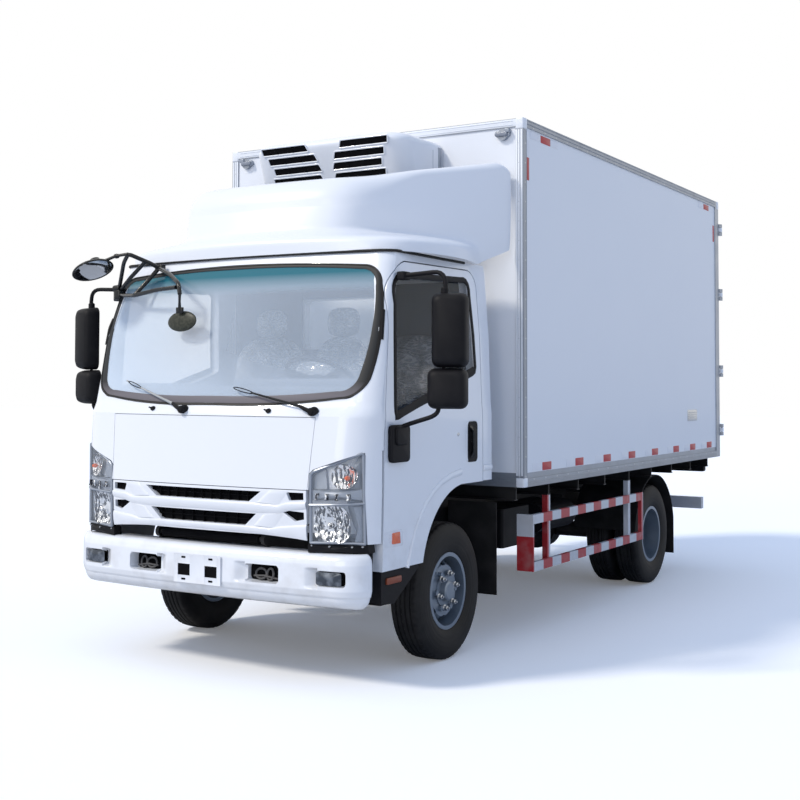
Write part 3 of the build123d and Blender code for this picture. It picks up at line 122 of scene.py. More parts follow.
# %% Make a piece
def build(name, body, material, shells, replaced=(), sharp=32, merge=0.02):
    """One object from several closed shells, in metres, with faces outwards and its edges
    smooth below the sharp angle in degrees."""
    points, faces, base = [], [], 0
    for shell_points, shell_faces in shells:
        points.append(shell_points)
        faces += [[base + corner for corner in face] for face in shell_faces]
        base += len(shell_points)
    mesh = bpy.data.meshes.new(name)
    mesh.from_pydata(metres(np.concatenate(points)).tolist(), [], faces)
    work = bmesh.new()
    work.from_mesh(mesh)
    bmesh.ops.remove_doubles(work, verts=work.verts, dist=merge / 1000)
    bmesh.ops.dissolve_degenerate(work, edges=work.edges, dist=1e-6)
    bmesh.ops.recalc_face_normals(work, faces=work.faces)
    work.to_mesh(mesh)
    work.free()
    mesh.shade_smooth()
    mesh.set_sharp_from_angle(angle=math.radians(sharp))
    piece = bpy.data.objects.new(name, mesh)
    bpy.context.scene.collection.objects.link(piece)
    piece.data.materials.append(material.material)
    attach(piece, body)
    if replaced:
        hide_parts(*replaced)
    print(name, len(mesh.polygons), "faces on", body)
    return piece


# %% [markdown]
# ## Four ways to make rings
# A tube follows a path, a plate is an outline with a soft edge, a turned part is a profile
# about an axis, and a moulding is an outline laid on a curved skin. These four cover the truck.

# %% Tube along a path
def smooth_path(corners, radius, steps=6):
    """Straight runs between corners, each corner a quadratic curve that starts and ends a
    radius away from it."""
    corners = np.asarray(corners, float)
    before = corners[:-2] - corners[1:-1]
    after = corners[2:] - corners[1:-1]
    reach_before = np.minimum(radius, 0.45 * np.linalg.norm(before, axis=1))[:, None]
    reach_after = np.minimum(radius, 0.45 * np.linalg.norm(after, axis=1))[:, None]
    start = corners[1:-1] + before / np.linalg.norm(before, axis=1)[:, None] * reach_before
    end = corners[1:-1] + after / np.linalg.norm(after, axis=1)[:, None] * reach_after
    t = np.linspace(0, 1, steps)[None, :, None]
    bends = ((1 - t) ** 2 * start[:, None] + 2 * t * (1 - t) * corners[1:-1, None]
             + t * t * end[:, None])
    return np.concatenate([corners[:1], bends.reshape(-1, 3), corners[-1:]])


def tube(path, wide, high=None, sides=10, loop=False, up=UP, power=2.0):
    """A superellipse ring, wide by high in half sizes, carried along the path and set square
    to it. Side is up cross tangent, so the section doesn't twist; where the path runs along
    up, that product is weak and across stands in for it."""
    path = np.asarray(path, float)
    if loop:
        tangent = np.roll(path, -1, 0) - np.roll(path, 1, 0)
    else:
        tangent = np.gradient(path, axis=0)
    tangent /= np.linalg.norm(tangent, axis=1)[:, None]
    side = np.cross(np.broadcast_to(up, path.shape), tangent)
    weak = np.linalg.norm(side, axis=1) < 0.05
    side[weak] = np.cross(ACROSS, tangent[weak])
    side /= np.linalg.norm(side, axis=1)[:, None]
    above = np.cross(tangent, side)
    angle = np.linspace(0, 2 * np.pi, sides, endpoint=False)
    across = np.sign(np.cos(angle)) * np.abs(np.cos(angle)) ** (2 / power)
    upward = np.sign(np.sin(angle)) * np.abs(np.sin(angle)) ** (2 / power)
    wide, high = (np.broadcast_to(np.asarray(half, float), len(path))[:, None, None]
                  for half in (wide, wide if high is None else high))
    rings = (path[:, None] + side[:, None] * wide * across[None, :, None]
             + above[:, None] * high * upward[None, :, None])
    return stack(rings, loop)


print("one soft corner has", len(smooth_path([(0, 0, 0), (9, 0, 0), (9, 9, 0)], 3)) - 2, "points")

# %% Outlines and plates
def distance_run(line):
    """How far along a line each of its points lies: the sum of the steps before it."""
    steps = np.linalg.norm(np.diff(line, axis=0), axis=1)
    return np.concatenate([[0], np.cumsum(steps)])


def at_distances(line, want):
    """The line's places at the wanted distances, by straight interpolation."""
    run = distance_run(line)
    return np.stack([np.interp(want, run, line[:, axis]) for axis in (0, 1)], -1)


def rounded(half_u, half_v, radius, steps=5):
    """A rectangle's outline with round corners, anticlockwise: four quarter circles."""
    quarter = np.linspace(0, np.pi / 2, steps)
    centres = np.array([[1, 1], [-1, 1], [-1, -1], [1, -1]]) * [half_u - radius, half_v - radius]
    turns = quarter[None, :] + np.arange(4)[:, None] * np.pi / 2
    arcs = centres[:, None] + radius * np.stack([np.cos(turns), np.sin(turns)], -1)
    return arcs.reshape(-1, 2)


def softened(corners, radius, steps=5):
    """A closed polygon with each corner a quadratic curve, radius long on either side."""
    corners = np.asarray(corners, float)
    looped = np.concatenate([corners[-1:], corners, corners[:1]])
    flat = np.pad(looped, ((0, 0), (0, 1)))
    return smooth_path(flat, radius, steps)[1:-1, :2]


def drawn_in(outline, amount):
    """Each point moved inwards along the mean of its two edges' normals."""
    outline = np.asarray(outline, float)
    ahead = np.roll(outline, -1, 0) - outline
    behind = outline - np.roll(outline, 1, 0)
    ahead = ahead / np.maximum(np.linalg.norm(ahead, axis=1), 1e-9)[:, None]
    behind = behind / np.maximum(np.linalg.norm(behind, axis=1), 1e-9)[:, None]
    mean = ahead + behind
    mean /= np.maximum(np.linalg.norm(mean, axis=1), 1e-9)[:, None]
    turn = np.sign(np.sum(outline[:, 0] * np.roll(outline[:, 1], -1)
                          - outline[:, 1] * np.roll(outline[:, 0], -1)))
    inward = np.stack([-mean[:, 1], mean[:, 0]], -1) * turn
    return outline + inward * amount


def plate(outline, origin, u, v, depth, soft=1.0):
    """An outline in the plane of u and v, carried along u cross v for the depth. Both rims are
    quarter rounds, drawn in by the softness."""
    u, v = np.asarray(u, float), np.asarray(v, float)
    ahead = np.cross(u, v)
    turn = np.linspace(0, np.pi / 2, 4)
    inset = np.concatenate([1 - np.sin(turn), (1 - np.sin(turn))[::-1]]) * soft
    level = np.concatenate([soft * (1 - np.cos(turn)), depth - soft * (1 - np.cos(turn))[::-1]])
    rings = np.stack([drawn_in(outline, amount) for amount in inset])
    return stack(np.asarray(origin, float) + rings[..., :1] * u + rings[..., 1:] * v
                 + level[:, None, None] * ahead)


def block(centre, size, radius, soft=1.5, along=2):
    """A box with round upright edges and soft rims, its depth along one axis."""
    axes = [(BACK, UP), (UP, ACROSS), (ACROSS, BACK)][along]
    sizes = [(size[1], size[2]), (size[2], size[0]), (size[0], size[1])][along]
    ahead = np.eye(3)[along]
    origin = np.asarray(centre, float) - ahead * size[along] / 2
    return plate(rounded(sizes[0] / 2, sizes[1] / 2, radius), origin, *axes, size[along], soft)


print("a block has", len(block((0, 0, 0), (9, 9, 9), 2)[1]), "faces")

# %% Turned parts
def turned(profile, centre, axis=ACROSS, steps=32):
    """A profile of (radius, distance along the axis) turned about the axis: ring i is a circle
    of radius r_i at height h_i."""
    axis = np.asarray(axis, float) / np.linalg.norm(axis)
    first = np.cross(axis, UP if abs(axis[2]) < 0.9 else BACK)
    first /= np.linalg.norm(first)
    second = np.cross(axis, first)
    angle = np.linspace(0, 2 * np.pi, steps, endpoint=False)
    profile = np.asarray(profile, float)
    spoke = np.cos(angle)[:, None] * first + np.sin(angle)[:, None] * second
    return stack(np.asarray(centre, float) + profile[:, :1, None] * spoke[None]
                 + profile[:, 1:, None] * axis)


print("tube, plate, block and turned are ready")

# %% [markdown]
# ## The cab's skin
# The cab's front is a gentle bow between two knees, then a tighter corner round to the flank,
# and each height has its own bow. Trim has to sit on that skin, so it is written here as a
# function: give across and height, and get the station. A flank function gives across instead.

# %% Skin functions
CAB_LEVELS = np.array([
    # height, front, knee across, knee station, half width, flank station
    (590, -1080, 790, -1035, 990, -868), (1000, -1112, 790, -1058, 998, -868),
    (1400, -1078, 800, -1016, 998, -866), (1460, -1040, 850, -950, 992, -862),
    (1860, -925, 922, -828, 978, -778), (2225, -800, 858, -716, 950, -656),
    (2285, -768, 835, -690, 940, -630), (2310, -700, 740, -612, 850, -560)], float)
BUMPER_LEVELS = np.array([
    (424, -1078, 806, -1040, 966, -958), (520, -1115, 806, -1072, 986, -958),
    (650, -1113, 806, -1070, 986, -958), (705, -1096, 806, -1053, 980, -958)], float)
BEND_ACROSS, BEND_BACK = 0.72, 0.42     # the corner's bend point, as shares from knee to flank


def bow(across, height, levels=CAB_LEVELS):
    """Station of the front skin. Inside the knee it is the circle through both knees and the
    middle; outside it is the circle through the knee, a bend point and the flank."""
    across, height = np.broadcast_arrays(np.abs(across).astype(float), np.asarray(height, float))
    front, knee_x, knee_y, half, flank = (
        np.interp(height, levels[:, 0], levels[:, column]) for column in range(1, 6))
    rise = knee_y - front
    radius = (knee_x ** 2 + rise ** 2) / (2 * rise)
    inside = front + radius - np.sqrt(np.maximum(radius ** 2 - across ** 2, 0))
    bend_x = knee_x + BEND_ACROSS * (half - knee_x)
    bend_y = knee_y + BEND_BACK * (flank - knee_y)
    a, b = bend_x - knee_x, bend_y - knee_y
    c, d = half - knee_x, flank - knee_y
    cross = 2 * (a * d - b * c)
    centre_x = (d * (a * a + b * b) - b * (c * c + d * d)) / cross
    centre_y = (a * (c * c + d * d) - c * (a * a + b * b)) / cross
    reach = centre_x ** 2 + centre_y ** 2
    from_centre = np.clip(across, None, half) - knee_x - centre_x
    outside = knee_y + centre_y - np.sqrt(np.maximum(reach - from_centre ** 2, 0))
    return np.where(across < knee_x, inside, outside)


def flank(height):
    """Across of the cab's side at a height."""
    return np.interp(height, CAB_LEVELS[:, 0], CAB_LEVELS[:, 4])


def shrunk(outline, rings):
    """Rings of the outline, shrunk towards its middle by a share s, and 1 - s squared."""
    outline = np.asarray(outline, float)
    middle = outline.mean(0)
    share = np.linspace(0.02, 1, rings)[:, None, None]
    return middle + (outline - middle)[None] * share, 1 - share[..., 0] ** 2


def with_back(face, inwards):
    """A shell from a face and the same face moved inwards."""
    return stack(np.concatenate([face, face[-1:] + inwards, face[-2::-1] + inwards]))


def moulding(outline, proud, depth, crown=0.0, rings=8, levels=CAB_LEVELS):
    """A cover on the front skin. Each ring is the outline shrunk by a share s, and stands off
    the skin by proud plus a crown times 1 - s squared. A negative proud sinks the cover. Its
    back lies depth behind the skin, which has to be deeper than its face."""
    flat, rise = shrunk(outline, rings)
    station = bow(flat[..., 0], flat[..., 1], levels) - proud - crown * rise
    face = np.stack([flat[..., 0], station, flat[..., 1]], -1)
    return with_back(face, (proud + depth) * BACK)


def side_moulding(outline, side, proud, depth, crown=0.0, rings=6):
    """The same formula on a flank: the outline is (station, height), proud is outwards."""
    flat, rise = shrunk(outline, rings)
    out = flank(flat[..., 1]) + proud + crown * rise
    face = np.stack([side * out, flat[..., 0], flat[..., 1]], -1)
    return with_back(face, -side * (proud + depth) * ACROSS)


print("skin at the middle, 1.2 m up:", round(float(bow(0, 1200))))

# %% [markdown]
# ## Shader arithmetic
# A finish is a small network of nodes, which is slow to read when wired one by one. So a socket
# is wrapped in a class whose operators add the Math node that they name, and `1 - mask` reads
# as it would on paper. Every other node is added by one method of the finish itself.

# %% Sockets with operators
class Flow:
    """An output socket of a finish. Arithmetic on it adds Math nodes."""

    def __init__(self, finish, socket):
        self.finish, self.socket = finish, socket

    def math(self, operation, *values):
        return self.finish.node("ShaderNodeMath", {"operation": operation}, values)

    def __add__(self, other): return self.math("ADD", self, other)
    def __sub__(self, other): return self.math("SUBTRACT", self, other)
    def __rsub__(self, other): return self.math("SUBTRACT", other, self)
    def __mul__(self, other): return self.math("MULTIPLY", self, other)
    def __truediv__(self, other): return self.math("DIVIDE", self, other)
    def __rtruediv__(self, other): return self.math("DIVIDE", other, self)
    def __gt__(self, other): return self.math("GREATER_THAN", self, other)
    def __lt__(self, other): return self.math("LESS_THAN", self, other)
    __radd__, __rmul__ = __add__, __mul__

    def sine(self): return self.math("SINE", self)
    def size(self): return self.math("ABSOLUTE", self)
    def wrap(self, step): return self.math("WRAP", self, step, 0)
    def power(self, exponent): return self.math("POWER", self, exponent)
    def ramp(self, low, high):
        """0 below low, 1 above high, straight between."""
        return self.finish.node("ShaderNodeMapRange", {"clamp": True}, {0: self, 1: low, 2: high})


class Finish:
    """A material with one Principled shader. Constants go on its sockets; what varies is
    linked. Its x, y and z are the place on the object, in metres."""

    def __init__(self, name, **constants):
        self.material = bpy.data.materials.new(name)
        self.material.use_nodes = True
        self.tree = self.material.node_tree
        self.shader = next(n for n in self.tree.nodes if n.type == "BSDF_PRINCIPLED")
        for key, value in constants.items():
            key = key.replace("_", " ")
            self.shader.inputs[key].default_value = (*value, 1) if key.endswith("Color") else value
        place = self.tree.nodes.new("ShaderNodeTexCoord").outputs["Object"]
        self.place = Flow(self, place)
        split = self.tree.nodes.new("ShaderNodeSeparateXYZ")
        self.tree.links.new(place, split.inputs[0])
        self.x, self.y, self.z = (Flow(self, split.outputs[axis]) for axis in range(3))

    def node(self, kind, settings=None, inputs=(), output=0):
        """Adds one node: its settings first, then a value or a link for each named input."""
        made = self.tree.nodes.new(kind)
        for key, value in (settings or {}).items():
            setattr(made, key, value)
        for key, value in (inputs.items() if isinstance(inputs, dict) else enumerate(inputs)):
            self.feed(made.inputs[key], value)
        return Flow(self, made.outputs[output])

    def feed(self, socket, value):
        if isinstance(value, Flow):
            self.tree.links.new(value.socket, socket)
        elif isinstance(value, tuple) and len(value) == 3 and socket.type == "RGBA":
            socket.default_value = (*value, 1)
        else:
            socket.default_value = value

    def noise(self, scale, detail=3, stretch=(1, 1, 1)):
        """Noise on Object coordinates, stretched along the axes. Scale is in waves a metre."""
        where = self.node("ShaderNodeMapping", {}, {"Vector": self.place, "Scale": stretch})
        return self.node("ShaderNodeTexNoise", {},
                         {"Vector": where, "Scale": scale, "Detail": detail})

    def mix(self, mask, low, high):
        """Colour low where the mask is 0, high where it is 1."""
        return self.node("ShaderNodeMix", {"data_type": "RGBA"}, {0: mask, 6: low, 7: high}, 2)

    def set(self, socket, value):
        self.feed(self.shader.inputs[socket], value)
        return self

    def bump(self, height, depth):
        """Depth is the height of a full step, in metres."""
        normal = self.node("ShaderNodeBump", {},
                           {"Height": height, "Distance": depth, "Strength": 1.0})
        return self.set("Normal", normal)


def station_of(finish):
    """Station in mm from Object coordinates: the axle's place is taken off."""
    return (finish.y - axle_y) * 1000


print("a finish can be written as arithmetic on its place")

# %% [markdown]
# ## White paint, white panels, white mouldings
# The cab is sprayed: a clear coat over white with the faint ripple called orange peel. The box
# is glass fibre on foam: less shiny, with a slow waviness. The fairing and the unit are
# moulded. Cab and box get a little dust low down, because an even white looks like plaster.

# %% Whites
WHITE = (0.83, 0.84, 0.86)
DUST = (0.42, 0.39, 0.35)


def white(name, roughness, coat, ripple_scale, ripple, dust=0.5):
    """White with a coat: dust gathers below a metre, and a ripple of some depth bumps it."""
    finish = Finish(name, Coat_Weight=coat, Coat_Roughness=0.06)
    cloud = finish.noise(2.3, 5)
    low_down = 1 - finish.z.ramp(0.35, 1.0)
    soiling = (finish.noise(9, 6).ramp(0.45, 0.8) * low_down * dust) + cloud * 0.02
    finish.set("Base Color", finish.mix(soiling, WHITE, DUST))
    finish.set("Roughness", cloud * 0.08 + (roughness - 0.04))
    return finish.bump(finish.noise(ripple_scale, 2), ripple)


cab_white = white("cab_paint", 0.3, 0.7, 420, 0.00004)
panel_white = white("box_panel", 0.42, 0.1, 3.5, 0.0012, dust=0.25)
fairing_white = white("fairing_moulding", 0.34, 0.25, 60, 0.0001, dust=0)
unit_white = white("unit_housing", 0.4, 0.3, 260, 0.00008, dust=0)
print("four whites")

# %% [markdown]
# ## Blacks, metals and rubber
# Frame black is brushed on, moulded plastic has a fine leather grain, and aluminium is drawn, so
# its fine lines run along it. The same recipe serves all: a base colour, dust in patches, and a
# grain for bump. Only the lamp's mirror differs: its streaks, dark and bright in its colour, are
# painted reflections that stand for the facets' edges, and they bump it too.

# %% Plain finishes with grain and dust
def plain(name, colour, roughness, metallic=0.0, dust=0.3, grain=300, grain_depth=0.00008,
          coat=0.0, stretch=(1, 1, 1), dust_colour=DUST, dust_scale=7, shine=0.5):
    """Dust covers its patches by a share, and grain is in waves a metre, its depth in metres.
    Shine is the specular level: below the usual half, a black stays black under a white sky."""
    finish = Finish(name, Metallic=metallic, Coat_Weight=coat, Specular_IOR_Level=shine)
    patches = finish.noise(dust_scale, 6).ramp(0.42, 0.78)
    finish.set("Base Color", finish.mix(patches * dust, colour, dust_colour))
    finish.set("Roughness", patches * 0.15 + roughness)
    return finish.bump(finish.noise(grain, 4, stretch), grain_depth)


# A black darker than any real one that barely shines: painted shade, for holes, wells and parts
# deep in shadow.
painted_shade_black = plain("black_of_painted_shade", (0.003, 0.003, 0.004), 0.9, dust=0.01, shine=0.08)
frame_black = plain("chassis_paint", (0.006, 0.006, 0.007), 0.45, dust=0.04, shine=0.3)
axle_black = plain("axle_paint", (0.008, 0.008, 0.009), 0.5, dust=0.08, shine=0.3)
engine_grey = plain("cast_iron", (0.03, 0.03, 0.034), 0.6, dust=0.2, grain=120,
                    grain_depth=0.0004)
rubber = plain("flap_rubber", (0.006, 0.006, 0.007), 0.7, dust=0.05, grain=90, shine=0.25)
tyre_rubber = plain("tyre_rubber", (0.005, 0.005, 0.006), 0.6, dust=0.05, grain=240, shine=0.25)
black_plastic = plain("grained_plastic", (0.006, 0.006, 0.008), 0.5, dust=0.02, grain=700,
                      grain_depth=0.00012, shine=0.14)
gloss_black = plain("gloss_black", (0.005, 0.006, 0.007), 0.22, dust=0.02, grain=40,
                    grain_depth=0.00001, coat=0.2, shine=0.3)
grey_plastic = plain("cabin_plastic", (0.20, 0.22, 0.25), 0.55, dust=0.06, grain=600,
                     grain_depth=0.0002)
dark_trim = plain("cabin_lining", (0.10, 0.115, 0.14), 0.7, dust=0.05, grain=300, shine=0.3)
seal_rubber = plain("seal_rubber", (0.006, 0.006, 0.007), 0.5, dust=0.03, grain=160, shine=0.3)
aluminium = plain("drawn_aluminium", (0.30, 0.33, 0.38), 0.38, metallic=0.75, dust=0.08,
                  grain=40, grain_depth=0.00015, stretch=(30, 1, 30))
aluminium_post = plain("drawn_post", (0.34, 0.37, 0.42), 0.36, metallic=0.75, dust=0.06,
                       grain=40, grain_depth=0.00015, stretch=(30, 30, 1))
steel = plain("stainless_steel", (0.50, 0.52, 0.55), 0.28, metallic=1.0, dust=0.05, grain=60,
              grain_depth=0.0001)
wheel_silver = plain("wheel_lacquer", (0.20, 0.24, 0.29), 0.36, metallic=0.5, dust=0.12,
                     grain=500, grain_depth=0.00003, coat=0.3)
reflector_grey = plain("bezel_grey", (0.30, 0.33, 0.38), 0.3, metallic=0.4, dust=0.05)
tank_metal = plain("tank_metal", (0.03, 0.032, 0.036), 0.38, metallic=0.3, dust=0.1)
lamp_mirror = Finish("faceted_reflector", Metallic=1.0, Roughness=0.14)
# Streaks: painted reflections, dark and bright in the mirror's colour, which also bump it.
streaks = lamp_mirror.noise(60, 3, (1.5, 1, 0.5)).ramp(0.46, 0.54)
lamp_mirror.set("Base Color", lamp_mirror.mix(streaks, (0.05, 0.055, 0.07), (0.97, 0.98, 1.0)))
lamp_mirror.bump(streaks, 0.002)
orange = plain("orange_lens", (0.85, 0.12, 0.008), 0.15, dust=0.02, grain=160, grain_depth=0.0003)
red_lens = plain("red_lens", (0.45, 0.01, 0.012), 0.18, dust=0.02, grain=160, grain_depth=0.0003)
tape_red = plain("red_tape", (0.46, 0.012, 0.02), 0.35, dust=0.03, grain=330, grain_depth=0.0001)
tape_white = plain("white_tape", (0.80, 0.80, 0.82), 0.35, dust=0.02, grain=330, grain_depth=0.0001)
smoked_glass = plain("smoked_lens", (0.06, 0.07, 0.085), 0.08, metallic=0.5, dust=0.5, grain=8,
                     grain_depth=0.0004, dust_colour=(0.5, 0.54, 0.6), dust_scale=22)
# A lighter copy of the rail aluminium: painted light for the faces that meet the sun.
painted_lit_rail = plain("painted_lit_rail", (0.78, 0.80, 0.83), 0.4, metallic=0.1, dust=0.03, grain=40,
                    grain_depth=0.0001, stretch=(1, 30, 30))
amber_dark = plain("amber_reflector", (0.22, 0.035, 0.004), 0.3, dust=0.05)
olive_back = plain("mottled_back", (0.022, 0.024, 0.016), 0.4, dust=0.5, grain=90, shine=0.3,
                   dust_colour=(0.11, 0.11, 0.075), dust_scale=60)
print(len(bpy.data.materials), "finishes so far")

# %% [markdown]
# ## Glass
# The windscreen has a teal sun band at its top and is clear below. Height on the object decides
# which, so the pattern stays when the cab tilts. Below the band a pale blue tint is painted on the
# glass as a reflection of the sky, and its alpha rises towards the truck's right and at the foot,
# where glass shows more of what it mirrors. A black print round its edge fades to grey at the
# foot. The side glass is darker.

# %% Glass
def glass(name, tint, alpha):
    """Tinted glass. Its alpha, a little clouded, says how much it hides."""
    finish = Finish(name, Roughness=0.04, Coat_Weight=0.0, IOR=1.5)
    cloud = finish.noise(1.7, 2)
    finish.set("Base Color", finish.mix(cloud, tint, tuple(0.85 * c for c in tint)))
    return finish.set("Alpha", cloud * 0.04 + alpha)


screen_glass = Finish("screen_glass", Roughness=0.03, IOR=1.5)
sun_band = screen_glass.z.ramp(2.06, 2.17)
towards_right = 1 - screen_glass.x.ramp(-0.9, 0.5)
# The pale tint and this rising alpha are a painted reflection of the sky.
painted_sky_reflection = towards_right.power(1.6) * 0.34 + (1 - screen_glass.z.ramp(1.45, 1.75)) * 0.16
sky_reflection_tint = screen_glass.mix(screen_glass.noise(1.2, 2), (0.70, 0.80, 0.90), (0.80, 0.88, 0.96))
screen_glass.set("Base Color", screen_glass.mix(sun_band, sky_reflection_tint, (0.03, 0.20, 0.25)))
screen_glass.set("Alpha", painted_sky_reflection * (1 - sun_band) + sun_band * 0.5 + 0.24)
screen_print = Finish("screen_print", Roughness=0.5, Specular_IOR_Level=0.3)
foot_share = 1 - screen_print.z.ramp(1.505, 1.58)
screen_print.set("Base Color", screen_print.mix(
    foot_share, (0.012, 0.014, 0.017), (0.16, 0.145, 0.155)))
screen_print.bump(screen_print.noise(3, 2), 0.0002)
door_glass = glass("door_glass", (0.035, 0.045, 0.048), 0.22)
lamp_glass = glass("lamp_glass", (0.75, 0.8, 0.85), 0.06)
mirror_glass = plain("mirror_glass", (0.5, 0.52, 0.55), 0.03, metallic=1.0, dust=0.0, grain=5,
                     grain_depth=0.00001)
print("two glasses, a windscreen with its print, and a mirror")

# %% [markdown]
# ## Film and stripes
# The seats wear their delivery wrapping. Its sharp folds come from the size of a sine wave,
# which has a crease at each zero. The film is pale in patches, and its creases are painted bright
# in its colour as highlights. The side guards' stripes come from wrapping the station.

# %% Seat film and stripes
seat_film = Finish("wrapped_seat", Coat_Weight=1.0, Coat_Roughness=0.08)
pull = seat_film.noise(5, 4, (1, 1, 2.6))
fold = ((pull - 0.5) * 34).sine().size().power(3)
patch = seat_film.noise(9, 3).ramp(0.38, 0.62)
# Colour: pale film in patches, and painted highlights along the creases.
seat_film.set("Base Color", seat_film.mix(
    fold * 0.7 * patch + patch * 0.25, (0.20, 0.22, 0.25), (0.90, 0.92, 0.95)))
seat_film.set("Roughness", 0.45 - patch * 0.25)
seat_film.bump(fold + seat_film.noise(26, 4) * 0.5, 0.008)


def striped(name, first, pitch, upper):
    """White and red by turns along the truck, from the station first. What stands ahead of
    it, the front post, is red below the upper height and white above."""
    finish = Finish(name, Roughness=0.36)
    station = station_of(finish)
    along = ((station - first) / pitch).wrap(2)
    red = (along > 1) * (station > first)
    front_post = (station < first - 0.5) * (1 - (finish.z > upper))
    paint = finish.mix(red + front_post, (0.62, 0.62, 0.63), (0.44, 0.025, 0.03))
    dust = finish.noise(12, 5).ramp(0.5, 0.8) * 0.35
    return finish.set("Base Color", finish.mix(dust, paint, DUST))


guard_stripes = striped("guard_stripes", first=850, pitch=143, upper=0.62)
print("film and stripes ready")

# %% [markdown]
# ## Dress the frame's own parts
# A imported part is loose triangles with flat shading. Where its shape is right as it is, the new
# piece is a merged copy with smooth faces below a chosen angle, and the finish is put on that.
# The table names those parts only: all others get a piece of their own, and go first.

# %% Smooth copies of the frame's parts
DRESS = {
    "ladder_frame": frame_black, "box_bearers": frame_black, "front_axle": axle_black,
    "rear_axle": axle_black, "leaf_springs": axle_black, "driveline": engine_grey,
    "fuel_tank": tank_metal, "battery_box": black_plastic, "underrun_guards": guard_stripes,
    "mudguards": rubber, "box_floor": aluminium, "box_body": panel_white,
    "rear_door_frame": aluminium_post, "box_rails": aluminium, "cab_shell": cab_white,
    # The cab floor takes the black of painted shade.
    "cab_floor": painted_shade_black, "front_panel": cab_white, "grille": cab_white,
    "dashboard": grey_plastic, "steering_wheel": black_plastic,
}
for hand, _ in SIDES:
    DRESS |= {f"cab_door_{hand}": cab_white, f"door_glass_{hand}": door_glass,
              f"steering_knuckle_{hand}": axle_black, f"front_wheel_{hand}": wheel_silver,
              f"rear_wheels_{hand}": wheel_silver, f"rear_door_{hand}": panel_white}


def smooth_copy(node, sharp=28):
    """A merged copy of a part, with faces under the sharp angle shaded smooth."""
    mesh = nodes[node].data.copy()
    work = bmesh.new()
    work.from_mesh(mesh)
    bmesh.ops.remove_doubles(work, verts=work.verts, dist=0.00002)
    bmesh.ops.dissolve_degenerate(work, edges=work.edges, dist=1e-6)
    work.to_mesh(mesh)
    work.free()
    for name in [a.name for a in mesh.attributes if a.name in ("custom_normal", "sharp_face")]:
        mesh.attributes.remove(mesh.attributes[name])
    mesh.shade_smooth()
    mesh.set_sharp_from_angle(angle=math.radians(sharp))
    piece = bpy.data.objects.new(node + "_shape", mesh)
    bpy.context.scene.collection.objects.link(piece)
    mesh.materials.clear()
    mesh.materials.append(DRESS[node].material)
    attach(piece, nodes[node]["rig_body"])
    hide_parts(node)


print(len(DRESS), "parts will keep their own shape")

# %% [markdown]
# ## Windscreen gasket and roof seal
# The screen is held by a rubber gasket that follows its edge, and the fairing sits on a rubber
# strip. Both are a flat section carried along a line that is given in across and height: the
# skin function gives its station.

# %% Gasket and seal
def arc(a, b, c, steps=12):
    """Points on the circle through a, b and c, from a to c: centre from two equal distances."""
    a, b, c = (np.asarray(p, float) for p in (a, b, c))
    system = 2 * np.array([b - a, c - a])
    centre = np.linalg.solve(system, [b @ b - a @ a, c @ c - a @ a])
    angles = np.unwrap([math.atan2(*(p - centre)[::-1]) for p in (a, b, c)])
    turn = np.linspace(angles[0], angles[2], steps)
    return centre + np.linalg.norm(a - centre) * np.stack([np.cos(turn), np.sin(turn)], -1)


def mirrored(half):
    """A half outline on the left, and its mirror image run backwards."""
    return np.concatenate([half, half[::-1] * [-1, 1]])


def screen_outline(foot_low, foot_mid, foot, lower, low_side, side, high_side, upper, head,
                   head_mid, top):
    """Half the screen's outline as five circular arcs, then mirrored: foot, corner, side,
    corner and head, each through three points."""
    half = [arc((0, foot_low), foot_mid, foot)[1:], arc(foot, lower, low_side)[1:],
            arc(low_side, side, high_side)[1:], arc(high_side, upper, head)[1:],
            arc(head, head_mid, (0, top))[1:-1]]
    return mirrored(np.concatenate(half))


gasket_outer = screen_outline(
    1453, (420, 1455), (800, 1490), (890, 1522), (940, 1592), (961, 1780), (922, 2100),
    (888, 2172), (800, 2208), (400, 2227), 2231)
print_inner = screen_outline(
    1503, (420, 1506), (770, 1530), (848, 1556), (882, 1620), (909, 1800), (889, 2085),
    (862, 2153), (785, 2182), (400, 2205), 2209)


def on_skin(line, proud, levels=CAB_LEVELS):
    """A line of (across, height) laid on the front skin, proud of it."""
    line = np.asarray(line, float)
    return np.stack([line[:, 0], bow(line[:, 0], line[:, 1], levels) - proud, line[:, 1]], -1)


def band(inner, outer, proud, depth):
    """A closed strip between two outlines: rings at shares from inner to outer, its height
    falling at both rims and its back a depth under the skin."""
    shares = (0, 0, 0.15, 0.5, 0.85, 1, 1)
    heights = (-depth, 0.3 * proud, proud, proud, proud, 0.3 * proud, -depth)
    return stack([on_skin(inner + (outer - inner) * share, height)
                  for share, height in zip(shares, heights)], loop=True)


RUBBER_SHARE = 0.26                     # rubber first, then print, from the outer edge inwards
gasket_inner = gasket_outer + (print_inner - gasket_outer) * RUBBER_SHARE
build("windscreen_gasket", "cab", seal_rubber,
      [band(gasket_inner, gasket_outer, proud=5, depth=6)])
build("screen_edge_print", "cab", screen_print,
      [band(print_inner, gasket_inner, proud=1.2, depth=8)])
build("windscreen", "cab", screen_glass,
      [moulding(gasket_inner, proud=-2, depth=6, rings=14)], replaced=("cab_glazing",))
rear_pane = plate(rounded(318, 153, 38) + [0, 1955], (0, 388, 0), ACROSS, UP, -8, 1)
build("rear_window", "cab", lamp_glass, [rear_pane])

